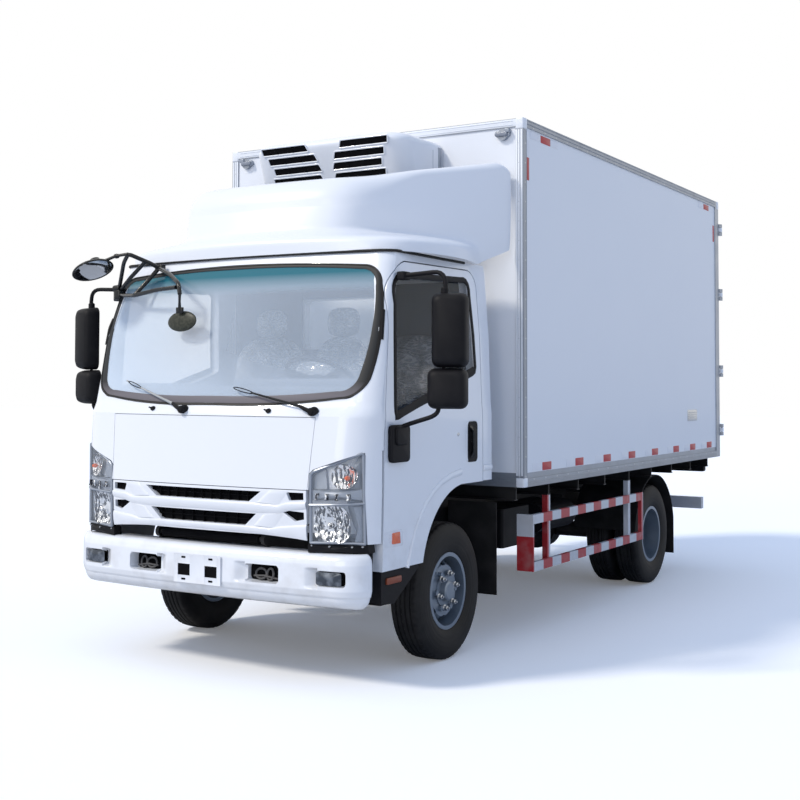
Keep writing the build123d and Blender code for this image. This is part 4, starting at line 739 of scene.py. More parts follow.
SKIRT_LEVELS = np.array([               # the fairing's foot, in the same columns as the cab
    (2283, -788, 842, -705, 948, -640), (2385, -792, 800, -690, 950, -600)], float)
sweep = 948 * np.sin(np.linspace(-np.pi / 2, np.pi / 2, 61))
seal_front = np.stack([sweep, bow(sweep, 2284, SKIRT_LEVELS) + 3, np.full(61, 2281.0)], -1)
seal_path = np.concatenate([[[-945, 150, 2281]], seal_front, [[945, 150, 2281]]])
build("roof_seal", "cab", seal_rubber, [tube(seal_path, 6, 8, up=UP)])

# %% [markdown]
# ## Grille
# The grille is white with angular wings. Raised bars stand on it: one below the upper mouth
# with two struts that rise to its ends, and the same again below the lower mouth. Behind the
# mouths sit a black ribbed grid and a cover in a black of painted shade, for the darkness. Each bar
# is a ribbon between two lines that both lie on the skin. Its face is highest in the upper half,
# which catches the light, and falls off below, so a white bar on white still shows.

# %% Grille bars and grids
def both_ways(outline):
    """An outline and its mirror image across the middle."""
    outline = np.asarray(outline, float)
    return outline, (outline * [-1, 1])[::-1]


def ribbon(upper, lower, proud, depth, count=90):
    """A bar between an upper and a lower line on the skin. The ring at each of its points goes
    down the bar: at a share s of the way it stands off the skin by a listed lift times proud,
    steep at the top, full by a fifth, low at the foot. Its back lies depth under the skin."""
    top, foot = (at_distances(line, np.linspace(0, distance_run(line)[-1], count))
                 for line in (np.asarray(upper, float), np.asarray(lower, float)))
    shares = np.array([0, 0.0, 0.06, 0.2, 0.4, 0.62, 0.85, 0.97, 1, 1])
    lift = np.array([-depth, 0.2, 0.75, 1.0, 1.0, 0.92, 0.5, 0.2, 0.1, -depth])
    lift[1:-1] *= proud
    lines = [on_skin(top + (foot - top) * share, height) for share, height in zip(shares, lift)]
    return stack(np.stack(lines, 1))


def smile(half):
    """A half line from the middle outwards, as a whole line."""
    half = np.asarray(half, float)
    return np.concatenate([(half * [-1, 1])[::-1], half])


bars = [ribbon(smile([(0, 946), (340, 946), (500, 940), (552, 956), (664, 962)]),
               smile([(0, 897), (388, 893), (508, 897), (560, 912), (664, 926)]), 9, 4),
        ribbon(smile([(0, 822), (322, 822), (450, 818), (510, 830), (664, 846)]),
               smile([(0, 790), (300, 786), (480, 778), (606, 770), (664, 764)]), 8, 4)]
for inner_edge, outer_edge in (([(450, 1014), (372, 950)], [(562, 1015), (498, 940)]),
                               ([(406, 884), (346, 826)], [(532, 900), (472, 822)])):
    for side in (-1, 1):
        mirror = np.array([side, 1])
        bars.append(ribbon(inner_edge * mirror, outer_edge * mirror, 6, 4, 20))
build("grille_bars", "cab", cab_white, bars, sharp=50)

# %% [markdown]
# ## Behind the grille
# Through a mouth one sees thin ribs and then nothing. A cover deep behind each mouth stands
# for the nothing: it is painted shade, a black that barely shines. Flat tubes before it are the
# ribs, in the same black. Neither shines, as a deep hole doesn't.

# %% Grille backing and ribs
backing = [moulding(softened(outline, 4), proud=-34, depth=42, rings=3) for outline in (
    [(-404, 1016), (404, 1016), (330, 942), (-330, 942)],
    [(-370, 896), (370, 896), (300, 816), (-300, 816)])]
for wing in ([(505, 1014), (662, 1014), (662, 952), (520, 944)],
             [(498, 922), (662, 930), (662, 840), (490, 826)]):
    backing += [moulding(softened(outline, 3), proud=-20, depth=28, rings=3)
                for outline in both_ways(wing)]


def rib(ends, high):
    """An upright rib. Each end is given by its across, a height, how far it lies behind the
    skin there, and how far past that height it runs."""
    return tube([(x, bow(x, level) + behind, level + past) for x, level, behind, past in ends],
                3, high, sides=6, up=BACK)


backing += [rib([(x, 1008, 26, 2), (x, 952, 24, -4)], 9) for x in np.linspace(-360, 360, 13)]
backing += [rib([(x, 888, 28, 2), (x, 828, 28, -4)], 9) for x in np.linspace(-300, 300, 9)]
backing += [rib([(side * x, high, 24, 0), (side * x, low, 24, 0)], 8) for side in (-1, 1)
            for x, low, high in ((585, 972, 1008), (618, 974, 1008), (560, 880, 912),
                                 (600, 872, 910), (634, 876, 908))]
for level, half in ((979, 372), (856, 322)):
    crossing = np.stack([np.linspace(-half, half, 25), np.full(25, float(level))], -1)
    backing.append(tube(on_skin(crossing, proud=-27), 4, 4, sides=6, up=BACK))
build("grille_grid", "cab", painted_shade_black, backing)

# %% [markdown]
# ## Headlamps
# Each lamp is a grey bezel under a clear cover: a round indicator with an orange bulb above, a
# strip with four clips across the middle, and a faceted reflector below. The reflector's
# facets are real: its bowl is a paraboloid with ripples round it and outwards on top, hung on
# the cab's bow so that its rim follows the cover.

# %% Headlamps
LAMP_LOW = 750


def bowl(centre, radius, depth, facets, ripple, rings=12, steps=72, square=0.0, levels=CAB_LEVELS):
    """A paraboloid hung on the bow, open to the front: its dip is depth times 1 - (r/R)
    squared, plus ripple times the size of the cosine of half the angle times the facets, and
    of a sine of r. Square swells it at the diagonals. Its back is the same surface moved 5 mm
    in. Centre: across, depth behind the skin, height."""
    share = np.linspace(0.04, 1, rings)[:, None]
    angle = np.linspace(0, 2 * np.pi, steps, endpoint=False)[None]
    dip = depth * (1 - share ** 2) + ripple * np.abs(np.cos(facets * angle / 2)) * share
    dip = dip + ripple * np.abs(np.sin(share * 14))
    swell = 1 + square * np.sin(2 * angle) ** 2 * share
    x = centre[0] + radius * share * swell * np.cos(angle)
    z = centre[2] + radius * share * swell * np.sin(angle)
    y = bow(x, z, levels) + centre[1] + dip
    front = np.stack(np.broadcast_arrays(x, y, z), -1)
    back = front[::-1] + np.array([0, 5.0, 0])
    return stack(np.concatenate([front, back]))


def lamp_shape(corners, side, radius=4):
    """A soft outline given for the left lamp, and its mirror image for the right one."""
    outline = softened(corners, radius)
    return outline if side > 0 else (outline * [-1, 1])[::-1]


for hand, side in SIDES:
    whole = lamp_shape([(680, LAMP_LOW), (680, 1104), (700, 1124), (936, 1219), (948, 1212),
                        (955, LAMP_LOW)], side, radius=8)
    split = np.stack([np.linspace(682, 950, 12), np.linspace(948, 960, 12)], -1) * [side, 1]
    clip_strip = [(684, 972), (684, 1026), (945, 1034), (945, 976)]
    inner_cheek = [(684, 1030), (684, 1096), (700, 1112), (752, 1132), (768, 1030)]
    outer_cheek = [(896, 754), (916, 836), (896, 940), (948, 952), (950, 754)]
    build(f"headlamp_bezel_{hand}", "cab", reflector_grey, [
        moulding(whole, proud=-74, depth=84, rings=6),
        tube(on_skin(drawn_in(whole, 6), -1), 8, 10, sides=8, loop=True, up=BACK),
        tube(on_skin(split, -4), 7, 9, sides=8, up=BACK),
        moulding(lamp_shape(clip_strip, side), proud=-14, depth=60, rings=4),
        moulding(lamp_shape(inner_cheek, side), proud=-26, depth=40, rings=4),
        moulding(lamp_shape(outer_cheek, side), proud=-30, depth=50, crown=4, rings=4)],
        replaced=("headlamps",) if side > 0 else ())

    mirrors = [bowl((side * 788, 14, 850), 96, 40, 14, 5.0, square=0.13),
               bowl((side * 855, 16, 1096), 63, 30, 2, 1.0),
               turned([(0, 0), (15, 0), (15, 26), (10, 30), (0, 32)],
                      (side * 788, bow(788, 850) + 36, 846), -BACK, 20)]
    for x in (726, 780, 834, 888):      # the four clips on the strip
        mirrors += [block((side * x, bow(x, 980) + 4, 992), (12, 22, 34), 3),
                    block((side * x, bow(x, 980) + 2, 980), (16, 22, 8), 3)]
    build(f"headlamp_reflector_{hand}", "cab", lamp_mirror, mirrors, sharp=60)
    build(f"indicator_bulb_{hand}", "cab", orange, [
        turned([(0, -18), (8, -16), (12, -7), (12, 7), (8, 16), (0, 18)],
               (side * 872, bow(872, 1092) + 20, 1089), BACK, 20)])
    build(f"headlamp_cover_{hand}", "cab", lamp_glass,
          [moulding(drawn_in(whole, 3), 2, 3, rings=10)])
    foot = lamp_shape([(668, 704), (668, 750), (958, 752), (962, 704)], side)
    build(f"lamp_foot_strip_{hand}", "cab", black_plastic,
          [moulding(foot, proud=1, depth=60, rings=4)])
    build(f"lamp_screws_{hand}", "cab", steel, [
        turned([(0, 3), (4, 2.5), (5, 0), (5, -8), (0, -8)],
               (side * x, bow(x, 741) - 1, 741), -BACK, 10)
        for x in (690, 790, 900, 940)])

# %% [markdown]
# ## White corners beside the lamps
# Outside each lamp the paint goes on round the corner to the flank. The strip is one ring per
# height: out along the skin from the lamp's edge, back along the flank, and home inside.

# %% Corner panels
def corner_ring(height):
    """The strip's closed section at a height, on the left."""
    lamp_edge = np.interp(height, [752, 1212, 1236], [957, 950, 946])
    side_x, door_edge = flank(height) - 0.6, -872.0
    across_line = np.concatenate([np.linspace(lamp_edge, flank(height) - 1.5, 9), [side_x]])
    outer = np.stack([across_line, bow(across_line, height), np.full(10, height)], -1)
    rear = [[side_x, door_edge, height], [flank(height) - 26, door_edge, height]]
    inner = [[lamp_edge - 6, bow(lamp_edge, height) + 40, height]]
    return np.concatenate([outer, rear, inner])


for hand, side in SIDES:
    rings = [corner_ring(height) * [side, 1, 1] for height in np.linspace(752, 1236, 16)]
    build(f"lamp_corner_{hand}", "cab", cab_white, [stack(rings)], sharp=40)

# %% [markdown]
# ## Bumper
# The bumper is one moulded shell with pockets pressed into it. It is a height field on the bow:
# at each across and height the skin is set back by a depth. The depth is the sum of a roll
# along the top and bottom edges, a ledge near the foot, and the pockets, whose walls come from
# the smoothed distance to a round-cornered rectangle. The grid is fine where the depth changes.

# %% Bumper shell with pockets
# Each hole: middle across, middle height, half width, half height, corner radius.
TOW_HOLE, FOG_HOLE = (396, 580.5, 103, 45, 22), (798, 580, 76, 38, 14)
BUMPER_HALF = 968                       # half width at which the columns of points are given


def step_up(value, low, high):
    """0 to 1 between low and high, as 3t squared minus 2t cubed."""
    t = np.clip((value - low) / (high - low), 0, 1)
    return t * t * (3 - 2 * t)


def hole_distance(across, height, hole):
    """Distance inside a round-cornered rectangle: positive within it, negative outside."""
    middle_x, middle_z, half_x, half_z, corner = hole
    u = np.abs(across - middle_x) - (half_x - corner)
    v = np.abs(height - middle_z) - (half_z - corner)
    outside = np.hypot(np.maximum(u, 0), np.maximum(v, 0))
    return corner - outside - np.minimum(np.maximum(u, v), 0)


def set_back(across, height):
    """How far the bumper's skin lies behind the plain bow, in mm. Each roll is a quarter of an
    ellipse: its depth times 1 minus the root of 1 - t squared. A pocket is the deeper of its
    slanted run, which starts at an across and stops at the hole, and of the hole itself."""
    across = np.abs(across)

    def roll(depth, t):
        return depth * (1 - np.sqrt(np.clip(1 - t.clip(0, 1) ** 2, 0, 1)))

    def pocket(run_depth, start, end, stop, low, high, hole, hole_depth):
        run = run_depth * step_up(across, start, end) * (across < stop)
        run = run * step_up(height, *low) * step_up(-height, *high)
        inside = hole_distance(across, height, hole)
        return np.maximum(run, hole_depth * step_up(inside, -2, 5))

    tow = pocket(34, 218, 296, 296, (526, 540), (-638, -624), TOW_HOLE, 74)
    fog = pocket(38, 640, 722, 726, (524, 540), (-634, -618), FOG_HOLE, 46)
    ledge = 5 * step_up(-height, -490, -482)
    return (roll(34, (height - 668) / 38) + roll(46, (474 - height) / 52) + ledge
            + np.maximum(tow, fog))


def bumper_shell():
    """One ring for each column of points: up the outer skin, then down the inner wall, which
    lies deep behind the front and close behind the corner. The left half is built first; the
    right half is its mirror image in reverse order."""
    fine_x = np.concatenate([np.linspace(*run) for run in (
        (0, 210, 15), (218, 310, 30), (314, 490, 30), (493, 512, 8), (530, 645, 8),
        (652, 748, 32), (752, 865, 20), (869, 886, 7))]
        + [BUMPER_HALF * np.sin(np.linspace(1.18, np.pi / 2 - 0.004, 22))])
    heights = np.concatenate([np.linspace(*run) for run in (
        (424, 480, 14), (483, 520, 8), (524, 546, 8), (551, 612, 12), (616, 640, 9),
        (648, 705, 14))])
    half = np.interp(heights, BUMPER_LEVELS[:, 0], BUMPER_LEVELS[:, 4])
    along = fine_x[:, None] * (half / BUMPER_HALF)[None]
    level = np.broadcast_to(heights, along.shape)
    column = np.broadcast_to(fine_x[:, None], along.shape)
    depth = set_back(column, level)
    corner = step_up(column, 890, BUMPER_HALF)      # round the corner, set back means inwards
    skin = np.stack([along - depth * corner * 0.9,
                     bow(along, level, BUMPER_LEVELS) + depth * (1 - corner), level], -1)
    ends = [skin[-1] * [1, 0, 1] + np.array([0, place, 0]) for place in (-954, -946)]
    outer = np.concatenate([skin, ends])
    inner = outer[:, [-1, -20, 20, 0]].copy()       # four of the heights, from the top down
    inner[..., 0] = np.minimum(inner[..., 0], 962) - 12
    inner[..., 1] += 96 * (1 - step_up(outer[:, :1, 0], 800, 940))
    ring = np.concatenate([outer, inner], 1)
    return stack(np.concatenate([(ring * [-1, 1, 1])[:0:-1], ring]))


build("bumper_shell", "chassis", cab_white, [bumper_shell()],
      replaced=("bumper",), sharp=42)

# %% [markdown]
# ## In the bumper's pockets
# The outer pockets hold the fog lamps: a small faceted bowl behind a smoked glass. Through the
# inner ones two towing eyes show before a dark back. Each pocket's back is a plate in the black
# of painted shade. An eye is a tube whose path is an ellipse.

# %% Fog lamps and towing eyes
pocket_shade_plates, glasses, hooks = [], [], []
for hand, side in SIDES:
    # Each pocket gets a back plate in painted shade, deep inside it.
    for (x, z, half_x, half_z, corner), back in ((TOW_HOLE, 58), (FOG_HOLE, 36)):
        outline = rounded(half_x - 3, half_z - 3, corner) + [side * x, z]
        pocket_shade_plates.append(moulding(outline, proud=-back, depth=back + 8, rings=3,
                                   levels=BUMPER_LEVELS))
    x, z, half_x, half_z, corner = FOG_HOLE
    pane = rounded(half_x - 5, half_z - 5, corner - 3) + [side * x, z]
    glasses.append(moulding(pane, proud=-7, depth=8, crown=7, rings=8, levels=BUMPER_LEVELS))
    build(f"fog_reflector_{hand}", "chassis", lamp_mirror,
          [bowl((side * (x + 12), 22, z), 27, 12, 8, 1.5, steps=32, square=0.12,
                levels=BUMPER_LEVELS)])
    around = np.linspace(0, 2 * np.pi, 28, endpoint=False)
    for dx, tall, wide in ((-20, 26, 34), (38, 30, 20)):
        eye = np.stack([side * (TOW_HOLE[0] + dx + wide * np.cos(around)),
                        -1060 + 4 * np.sin(around), 574 + tall * np.sin(around)], -1)
        hooks.append(tube(eye, 6, 6, sides=8, loop=True, up=BACK))
    hooks.append(tube([(side * 330, -1062, 560), (side * 400, -1068, 566),
                       (side * 480, -1056, 552)], 5, sides=8))
build("bumper_pocket_backs", "chassis", painted_shade_black, pocket_shade_plates)
build("fog_lamp_glass", "chassis", smoked_glass, glasses)
build("towing_eyes", "chassis", engine_grey, hooks)

# %% [markdown]
# ## Number-plate bracket
# The bracket is a flat plate with two square windows. A plate with windows has no simple
# outline, so it is split into strips: full ones between windows, two short ones at each.

# %% Plate bracket
def frame_plate(outer, holes, station_front, thick):
    """A flat plate split into strips round its square windows: columns between window edges,
    each cut where a window stands."""
    (left, low), (rightmost, high) = outer
    shells, start = [], left
    for hole_left, hole_low, hole_right, hole_high in holes:
        shells.append(((start, low), (hole_left, high)))
        shells += [((hole_left, low), (hole_right, hole_low)),
                   ((hole_left, hole_high), (hole_right, high))]
        start = hole_right
    shells += [((start, low), (rightmost, high))]
    return [plate([(x1, z0), (x1, z1), (x0, z1), (x0, z0)], (0, station_front, 0), ACROSS, UP,
                  thick, 0.3) for (x0, z0), (x1, z1) in shells]


windows = [(-142, 534, -58, 596), (43, 534, 126, 594)]
bracket = frame_plate(((-169, 495), (150, 648)), windows, -1122, -7)
bracket += [block((x, -1110, 571), (10, 14, 120), 3, 1) for x in (-158, -100, 0, 84, 140)]
build("plate_bracket", "chassis", cab_white, bracket)
# Thin plates in the black of painted shade sit behind the bracket's slots and windows.
slots = [plate(rounded(14, 5, 3) + [x, z], (0, -1123.2, 0), ACROSS, UP, -1.2, 0.3)
         for x in (-102, 84) for z in (514, 631)]
for left, low, rightmost, high in windows:
    window = rounded((rightmost - left) / 2, (high - low) / 2, 2)
    window = window + [(left + rightmost) / 2, (low + high) / 2]
    slots.append(plate(window, (0, -1118, 0), ACROSS, UP, -2, 0.3))
build("plate_bracket_windows", "chassis", painted_shade_black, slots)

# %% [markdown]
# ## Wipers and washers
# The truck is new, so its wiper arms stand without blades. An arm has a round cap, a thick
# knuckle with the spring inside, a slim bar, and a forked end for the blade. It lies over the
# glass, so each point's station comes from the skin again. The right arm is bright steel and
# ends in a tip beyond its fork, the left one is black.

# %% Wipers
BAR_SHARE, FORK_SHARE = 0.72, 0.68      # how far out from the bend they end and begin
knuckles = []
for number, (root, bend, tip, bright) in enumerate((
        ((-156, 1426), (-237, 1458), (-642, 1580), steel),
        ((674, 1424), (600, 1450), (160, 1548), gloss_black))):
    root, bend, tip = (np.array(p, float) for p in (root, bend, tip))
    hub = on_skin([root], 6)[0]
    knuckles.append(turned([(0, 40), (15, 38), (21, 31), (22, 6), (26, 0), (26, -10), (0, -10)],
                           hub, -BACK, 24))
    share = np.linspace(0, 1, 5)[:, None]
    knuckles.append(tube(on_skin(root + (bend - root) * share, [34, 36, 36, 34, 30]),
                         [13, 12, 11, 10, 9], 8, sides=10, up=BACK, power=3))
    share = np.linspace(0, 1, 9)[:, None]
    bar_end = bend + (tip - bend) * BAR_SHARE
    bar = on_skin(bend + (bar_end - bend) * share, 30 - 6 * share[:, 0])
    fork_start = bend + (tip - bend) * FORK_SHARE
    across_arm = np.array([-(tip - bend)[1], (tip - bend)[0]]) / np.linalg.norm(tip - bend)
    angle = np.linspace(0, 2 * np.pi, 24)[:, None]
    fork = fork_start + (tip - fork_start) * (0.5 - 0.46 * np.cos(angle))
    fork = fork + across_arm * (8 * np.sin(angle))
    knuckles.append(tube(on_skin(fork[:-1], 25), 2.6, 3.5, sides=6, loop=True, up=BACK))
    bars = [tube(bar, np.linspace(8, 5, 9), 4, sides=8, up=BACK)]
    if number == 0:
        past_fork = fork_start + (tip - fork_start) * np.linspace(0.9, 1.12, 4)[:, None]
        bars.append(tube(on_skin(past_fork, 24), 5, 3, sides=6, up=BACK))
    build(f"wiper_arm_{number + 1}", "cab", bright, bars)
for x, z in ((-394, 1428), (406, 1425)):
    seat = on_skin([(x, z)], 2)[0]
    knuckles.append(turned([(0, 15), (11, 13), (13, 5), (14, -4), (0, -4)], seat, -BACK, 16))
    knuckles.append(tube([seat + [0, -8, 2], seat + [-24, -8, 7]], 5, 4.5, sides=8))
build("wiper_knuckles", "cab", black_plastic, knuckles, replaced=("wipers",))

# %% [markdown]
# ## Door mirrors
# On each door a tube frame carries two heads: a tall main mirror and a square wide-angle one.
# A head is a deep rounded shell, fuller at the front than at the glass. Rings of a rounded
# rectangle carried backwards make it: small at the nose, full size at the rim, then the glass.

# %% Mirror heads and arms
def head(middle, half_x, half_z, soft=40, nose=-716, rim=-628, draw=34):
    """Rounded rectangles from nose to rim, drawn in by draw times 1 minus the root of
    1 - (1 - t) squared, then a short lip and a flat floor for the glass, 5 mm in."""
    t = np.linspace(0, 1, 9)
    steps = [((1 - share) * draw, station, max(soft - (1 - share) * draw * 0.3, 8))
             for share, station in zip(np.sqrt(1 - (1 - t) ** 2), nose + (rim - nose) * t)]
    steps += [(5, rim + 2, soft - 6), (9, rim, soft - 6), (10, rim - 5, soft - 6)]
    rings = []
    for inset, station, radius in steps:
        ring = rounded(half_x - inset, half_z - inset, radius, 6) + middle
        rings.append(np.column_stack([ring[:, 0], np.full(len(ring), station), ring[:, 1]]))
    return stack(rings)


def yawed(shell, middle_x, middle_y, angle):
    """A shell turned about the upright line through the middle, by an angle in radians."""
    points, faces = shell
    x, y = points[:, 0] - middle_x, points[:, 1] - middle_y
    return np.stack([middle_x + x * math.cos(angle) - y * math.sin(angle),
                     middle_y + x * math.sin(angle) + y * math.cos(angle), points[:, 2]], -1), faces


UPPER_HEAD, LOWER_HEAD = ((1279, 1848), 97, 194), ((1264, 1546), 106, 106)
HEAD_YAW, POST_STATION = math.radians(20), -665
for hand, side in SIDES:
    shells, panes = [], []
    for (x, z), half_x, half_z in (UPPER_HEAD, LOWER_HEAD):
        turn = (side * x, POST_STATION, side * HEAD_YAW)
        shells.append(yawed(head((side * x, z), half_x, half_z), *turn))
        pane = rounded(half_x - 12, half_z - 12, 26) + [side * x, z]
        panes.append(yawed(plate(pane, (0, -631, 0), ACROSS, UP, -2, 0.4), *turn))
    shells += [
        tube(smooth_path([(side * 975, -652, 2143), (side * 1246, -657, 2156),
                          (side * 1255, -660, 2030)], 70), 12, sides=12),
        tube(smooth_path([(side * 1216, -665, 1480), (side * 1214, -668, 1410),
                          (side * 1030, -700, 1352), (side * 1000, -715, 1330)], 55), 12, sides=12),
        tube([(side * 1247, -660, 2045), (side * 1240, -660, 1480)], 9),
        block((side * 1012, -720, 1258), (30, 190, 196), 26, 8, along=0),
        block((side * 1022, -726, 1300), (34, 120, 100), 24, 8, along=0),
        block((side * 990, -640, 2143), (52, 74, 44), 14, 5),
        turned([(0, 0), (20, 0), (20, 30), (14, 36), (0, 36)], (side * 1247, -660, 2034), UP, 16)]
    door = f"cab_door_{hand}"
    build(f"mirror_heads_{hand}", door, black_plastic, shells,
          replaced=(f"mirror_{hand}",))
    build(f"mirror_panes_{hand}", door, mirror_glass, panes)

# %% [markdown]
# ## Front-view mirror
# High on the truck's right a tripod of black tubes holds a round dish and an oval mirror that
# hangs before the screen. They let the driver see the ground ahead. The tubes meet at a hub on
# the roof's corner.

# %% Front-view mirror
HUB, PEAK, ROOF_FOOT = (-942, -745, 2126), (-680, -950, 2322), (-579, -796, 2246)
LOWER_KNEE = (-676, -900, 2082)
joint = tuple(0.45 * p + 0.55 * r for p, r in zip(PEAK, ROOF_FOOT))
stay = [tube(smooth_path(line, reach), 12.5, sides=12) for line, reach in (
    ([HUB, (-760, -900, 2280), PEAK, (-600, -840, 2270), ROOF_FOOT], 26),
    ([(-930, -756, 2118), (-780, -820, 2196), joint], 10),
    ([ROOF_FOOT, (-400, -912, 2196), (-250, -1008, 2128), (-230, -1020, 2066)], 34),
    ([(-930, -760, 2108), (-820, -822, 2092), LOWER_KNEE, (-450, -962, 2102),
      (-262, -1014, 2106)], 30),
    ([LOWER_KNEE, (-628, -850, 2160), ROOF_FOOT], 10))]
stay += [
    block((-950, -738, 2112), (44, 62, 92), 18, 8), block((-916, -764, 2100), (50, 60, 58), 12, 5),
    turned([(0, -26), (22, -24), (24, 0), (22, 24), (0, 26)], (-930, -768, 2140), steps=16),
    block((-574, -790, 2250), (56, 40, 30), 8, 4),
    turned([(0, -14), (13, -12), (15, 0), (13, 12), (0, 14)], (-760, -962, 2312), steps=14),
    tube([PEAK, (-760, -968, 2312), (-812, -984, 2292), (-838, -992, 2284)], 9),
    tube([(-230, -1020, 2070), (-233, -1018, 2026), (-236, -1012, 1972)], [9, 7, 11]),
    block((-237, -1010, 1976), (48, 16, 34), 5, 3)]


def dish(middle, half_u, half_v, axis, long_way, depth, rings=8, steps=40):
    """An oval bowl: radius grows as the square root of the way down its axis, then a lip and a
    flat face a little inside the lip."""
    axis = np.asarray(axis, float) / np.linalg.norm(axis)
    u = np.asarray(long_way, float) - axis * np.dot(long_way, axis)
    u /= np.linalg.norm(u)
    v = np.cross(axis, u)
    angle = np.linspace(0, 2 * np.pi, steps, endpoint=False)
    t = np.concatenate([np.linspace(0.01, 1, rings), [1.06, 1.06, 0.98]])
    size = np.concatenate([np.sqrt(1 - (1 - np.linspace(0.01, 1, rings)) ** 2), [0.98, 0.93, 0.92]])
    ring = np.cos(angle)[:, None] * u * half_u + np.sin(angle)[:, None] * v * half_v
    return stack(np.asarray(middle, float) + size[:, None, None] * ring
                 + (t * depth)[:, None, None] * axis)


ROUND_AT = np.array([-926.0, -996, 2262])
ROUND_FACE, ROUND_LONG = (0.44, -0.10, -0.89), (0.70, 0.68, 0.20)
stay.append(dish(ROUND_AT, 124, 124, ROUND_FACE, ROUND_LONG, 34))
stay.append(turned([(0, -34), (30, -30), (40, 0), (44, 12), (0, 12)], ROUND_AT + [26, 8, 8],
                   ROUND_FACE, 20))
build("front_view_mirror_frame", "cab", gloss_black, stay,
      replaced=("front_view_mirrors",))
face = np.asarray(ROUND_FACE) / np.linalg.norm(ROUND_FACE)
build("front_view_mirror_pane", "cab", mirror_glass,
      [turned([(0, 2.5), (60, 2), (104, 0.5), (112, -1), (112, -4), (0, -4)],
              ROUND_AT + face * 35, ROUND_FACE, 40)])
build("hanging_mirror", "cab", olive_back,
      [dish((-239, -1008, 1918), 112, 58, (0.1, 1.0, -0.12), ACROSS, 20, rings=10)])

# %% [markdown]
# ## Doors
# The door's window has a wide black frame strip, widest along its slanted sill. There is a
# flush black handle, a small lock, a side repeater and a black grip on the pillar. A pressed
# flare runs over the wheel arch on door and cab.

# %% Door trim
window_line = np.concatenate([
    [(-728, 1392), (-708, 1860)], arc((-690, 2000), (-672, 2120), (-610, 2152), 6),
    arc((100, 2176), (160, 2166), (182, 2100), 6), [(214, 1662), (200, 1640), (-352, 1490)]])


def side_line(line, side, proud):
    """A line of (station, height) laid on a flank."""
    line = np.asarray(line, float)
    return np.stack([side * (flank(line[:, 1]) + proud), line[:, 0], line[:, 1]], -1)


def fine(line, step=30.0):
    """The same closed line with its points about a step apart."""
    closed = np.concatenate([line, line[:1]])
    length = distance_run(closed)[-1]
    return at_distances(closed, np.linspace(0, length, int(length / step), endpoint=False))


ARCH = np.array([(-596, 596), (-560, 700), (-515, 788), (-458, 867), (-402, 925), (-323, 980),
                 (-231, 1024), (-112, 1054), (10, 1070)], float)
REAR_ARCH = np.array([(286, 1078), (340, 1078), (396, 1078)], float)
for hand, side in SIDES:
    door = f"cab_door_{hand}"
    ring = fine(window_line)
    sill = side_line([(-716, 1400), (-352, 1503), (196, 1652)], side, -1)
    build(f"door_window_frame_{hand}", door, black_plastic, [
        tube(side_line(ring, side, 0), 17, 4, sides=8, loop=True, up=ACROSS),
        tube(sill, 24, 4, sides=8, up=ACROSS),
        side_moulding(rounded(64, 118, 26) + [146, 1238], side, 3, 4, rings=3),
        side_moulding(rounded(62, 116, 25) + [146, 1238], side, 5, 5, rings=3)])
    pull = smooth_path([(side * 996, 120, 1322), (side * 1020, 124, 1306),
                        (side * 1020, 128, 1172), (side * 996, 126, 1152)], 16)
    build(f"door_handle_{hand}", door, gloss_black,
          [tube(pull, 16, 8, sides=12, up=BACK)])
    build(f"door_lock_{hand}", door, steel, [
        turned([(0, 5), (9, 4), (11, 0), (11, -4), (0, -4)], (side * 998, -26, 1284),
               side * ACROSS, 18)])
    lens = softened([(-838, 726), (-838, 806), (-680, 812), (-662, 790), (-662, 722)], 14)
    build(f"side_repeater_{hand}", door, lamp_glass,
          [side_moulding(lens, side, 10, 6, 9, rings=6)])
    core = drawn_in(softened([(-764, 734), (-764, 798), (-684, 800), (-674, 732)], 8), 4)
    build(f"side_repeater_core_{hand}", door, orange,
          [side_moulding(core, side, 5, 6, 4, rings=4)])
    flare = tube(side_line(ARCH, side, -2), np.linspace(10, 20, 9), 13, sides=10, up=ACROSS)
    build(f"arch_flare_{hand}", door, cab_white, [flare])
    build(f"arch_flare_rear_{hand}", "cab", cab_white,
          [tube(side_line(REAR_ARCH, side, -2), 20, 13, sides=10, up=ACROSS)])
    grip_line = [(side * 946, -778, 1956), (side * 956, -801, 1900), (side * 962, -821, 1800)]
    build(f"pillar_grip_{hand}", "cab", black_plastic,
          [tube(smooth_path(grip_line, 20), 12, 12, sides=10)])
    build(f"sill_marker_{hand}", "cab", amber_dark,
          [block((side * 982, -724, 548), (12, 150, 34), 8, 3, along=0)])

# %% [markdown]
# ## Tyres
# A tyre is a closed section swept round the axle. The section bulges at the sidewall and is
# almost flat across the tread. Four zigzag grooves run round the tread, and short slits cut its
# shoulders. All of that is one formula: the radius drops where a groove or a slit is, so no
# separate block is modelled.

# %% Tyres with tread
RIM_SEAT, TREAD_DEPTH = 218.4, 9
BLOCKS = 54                             # the zigzag and the slits repeat so often in a turn


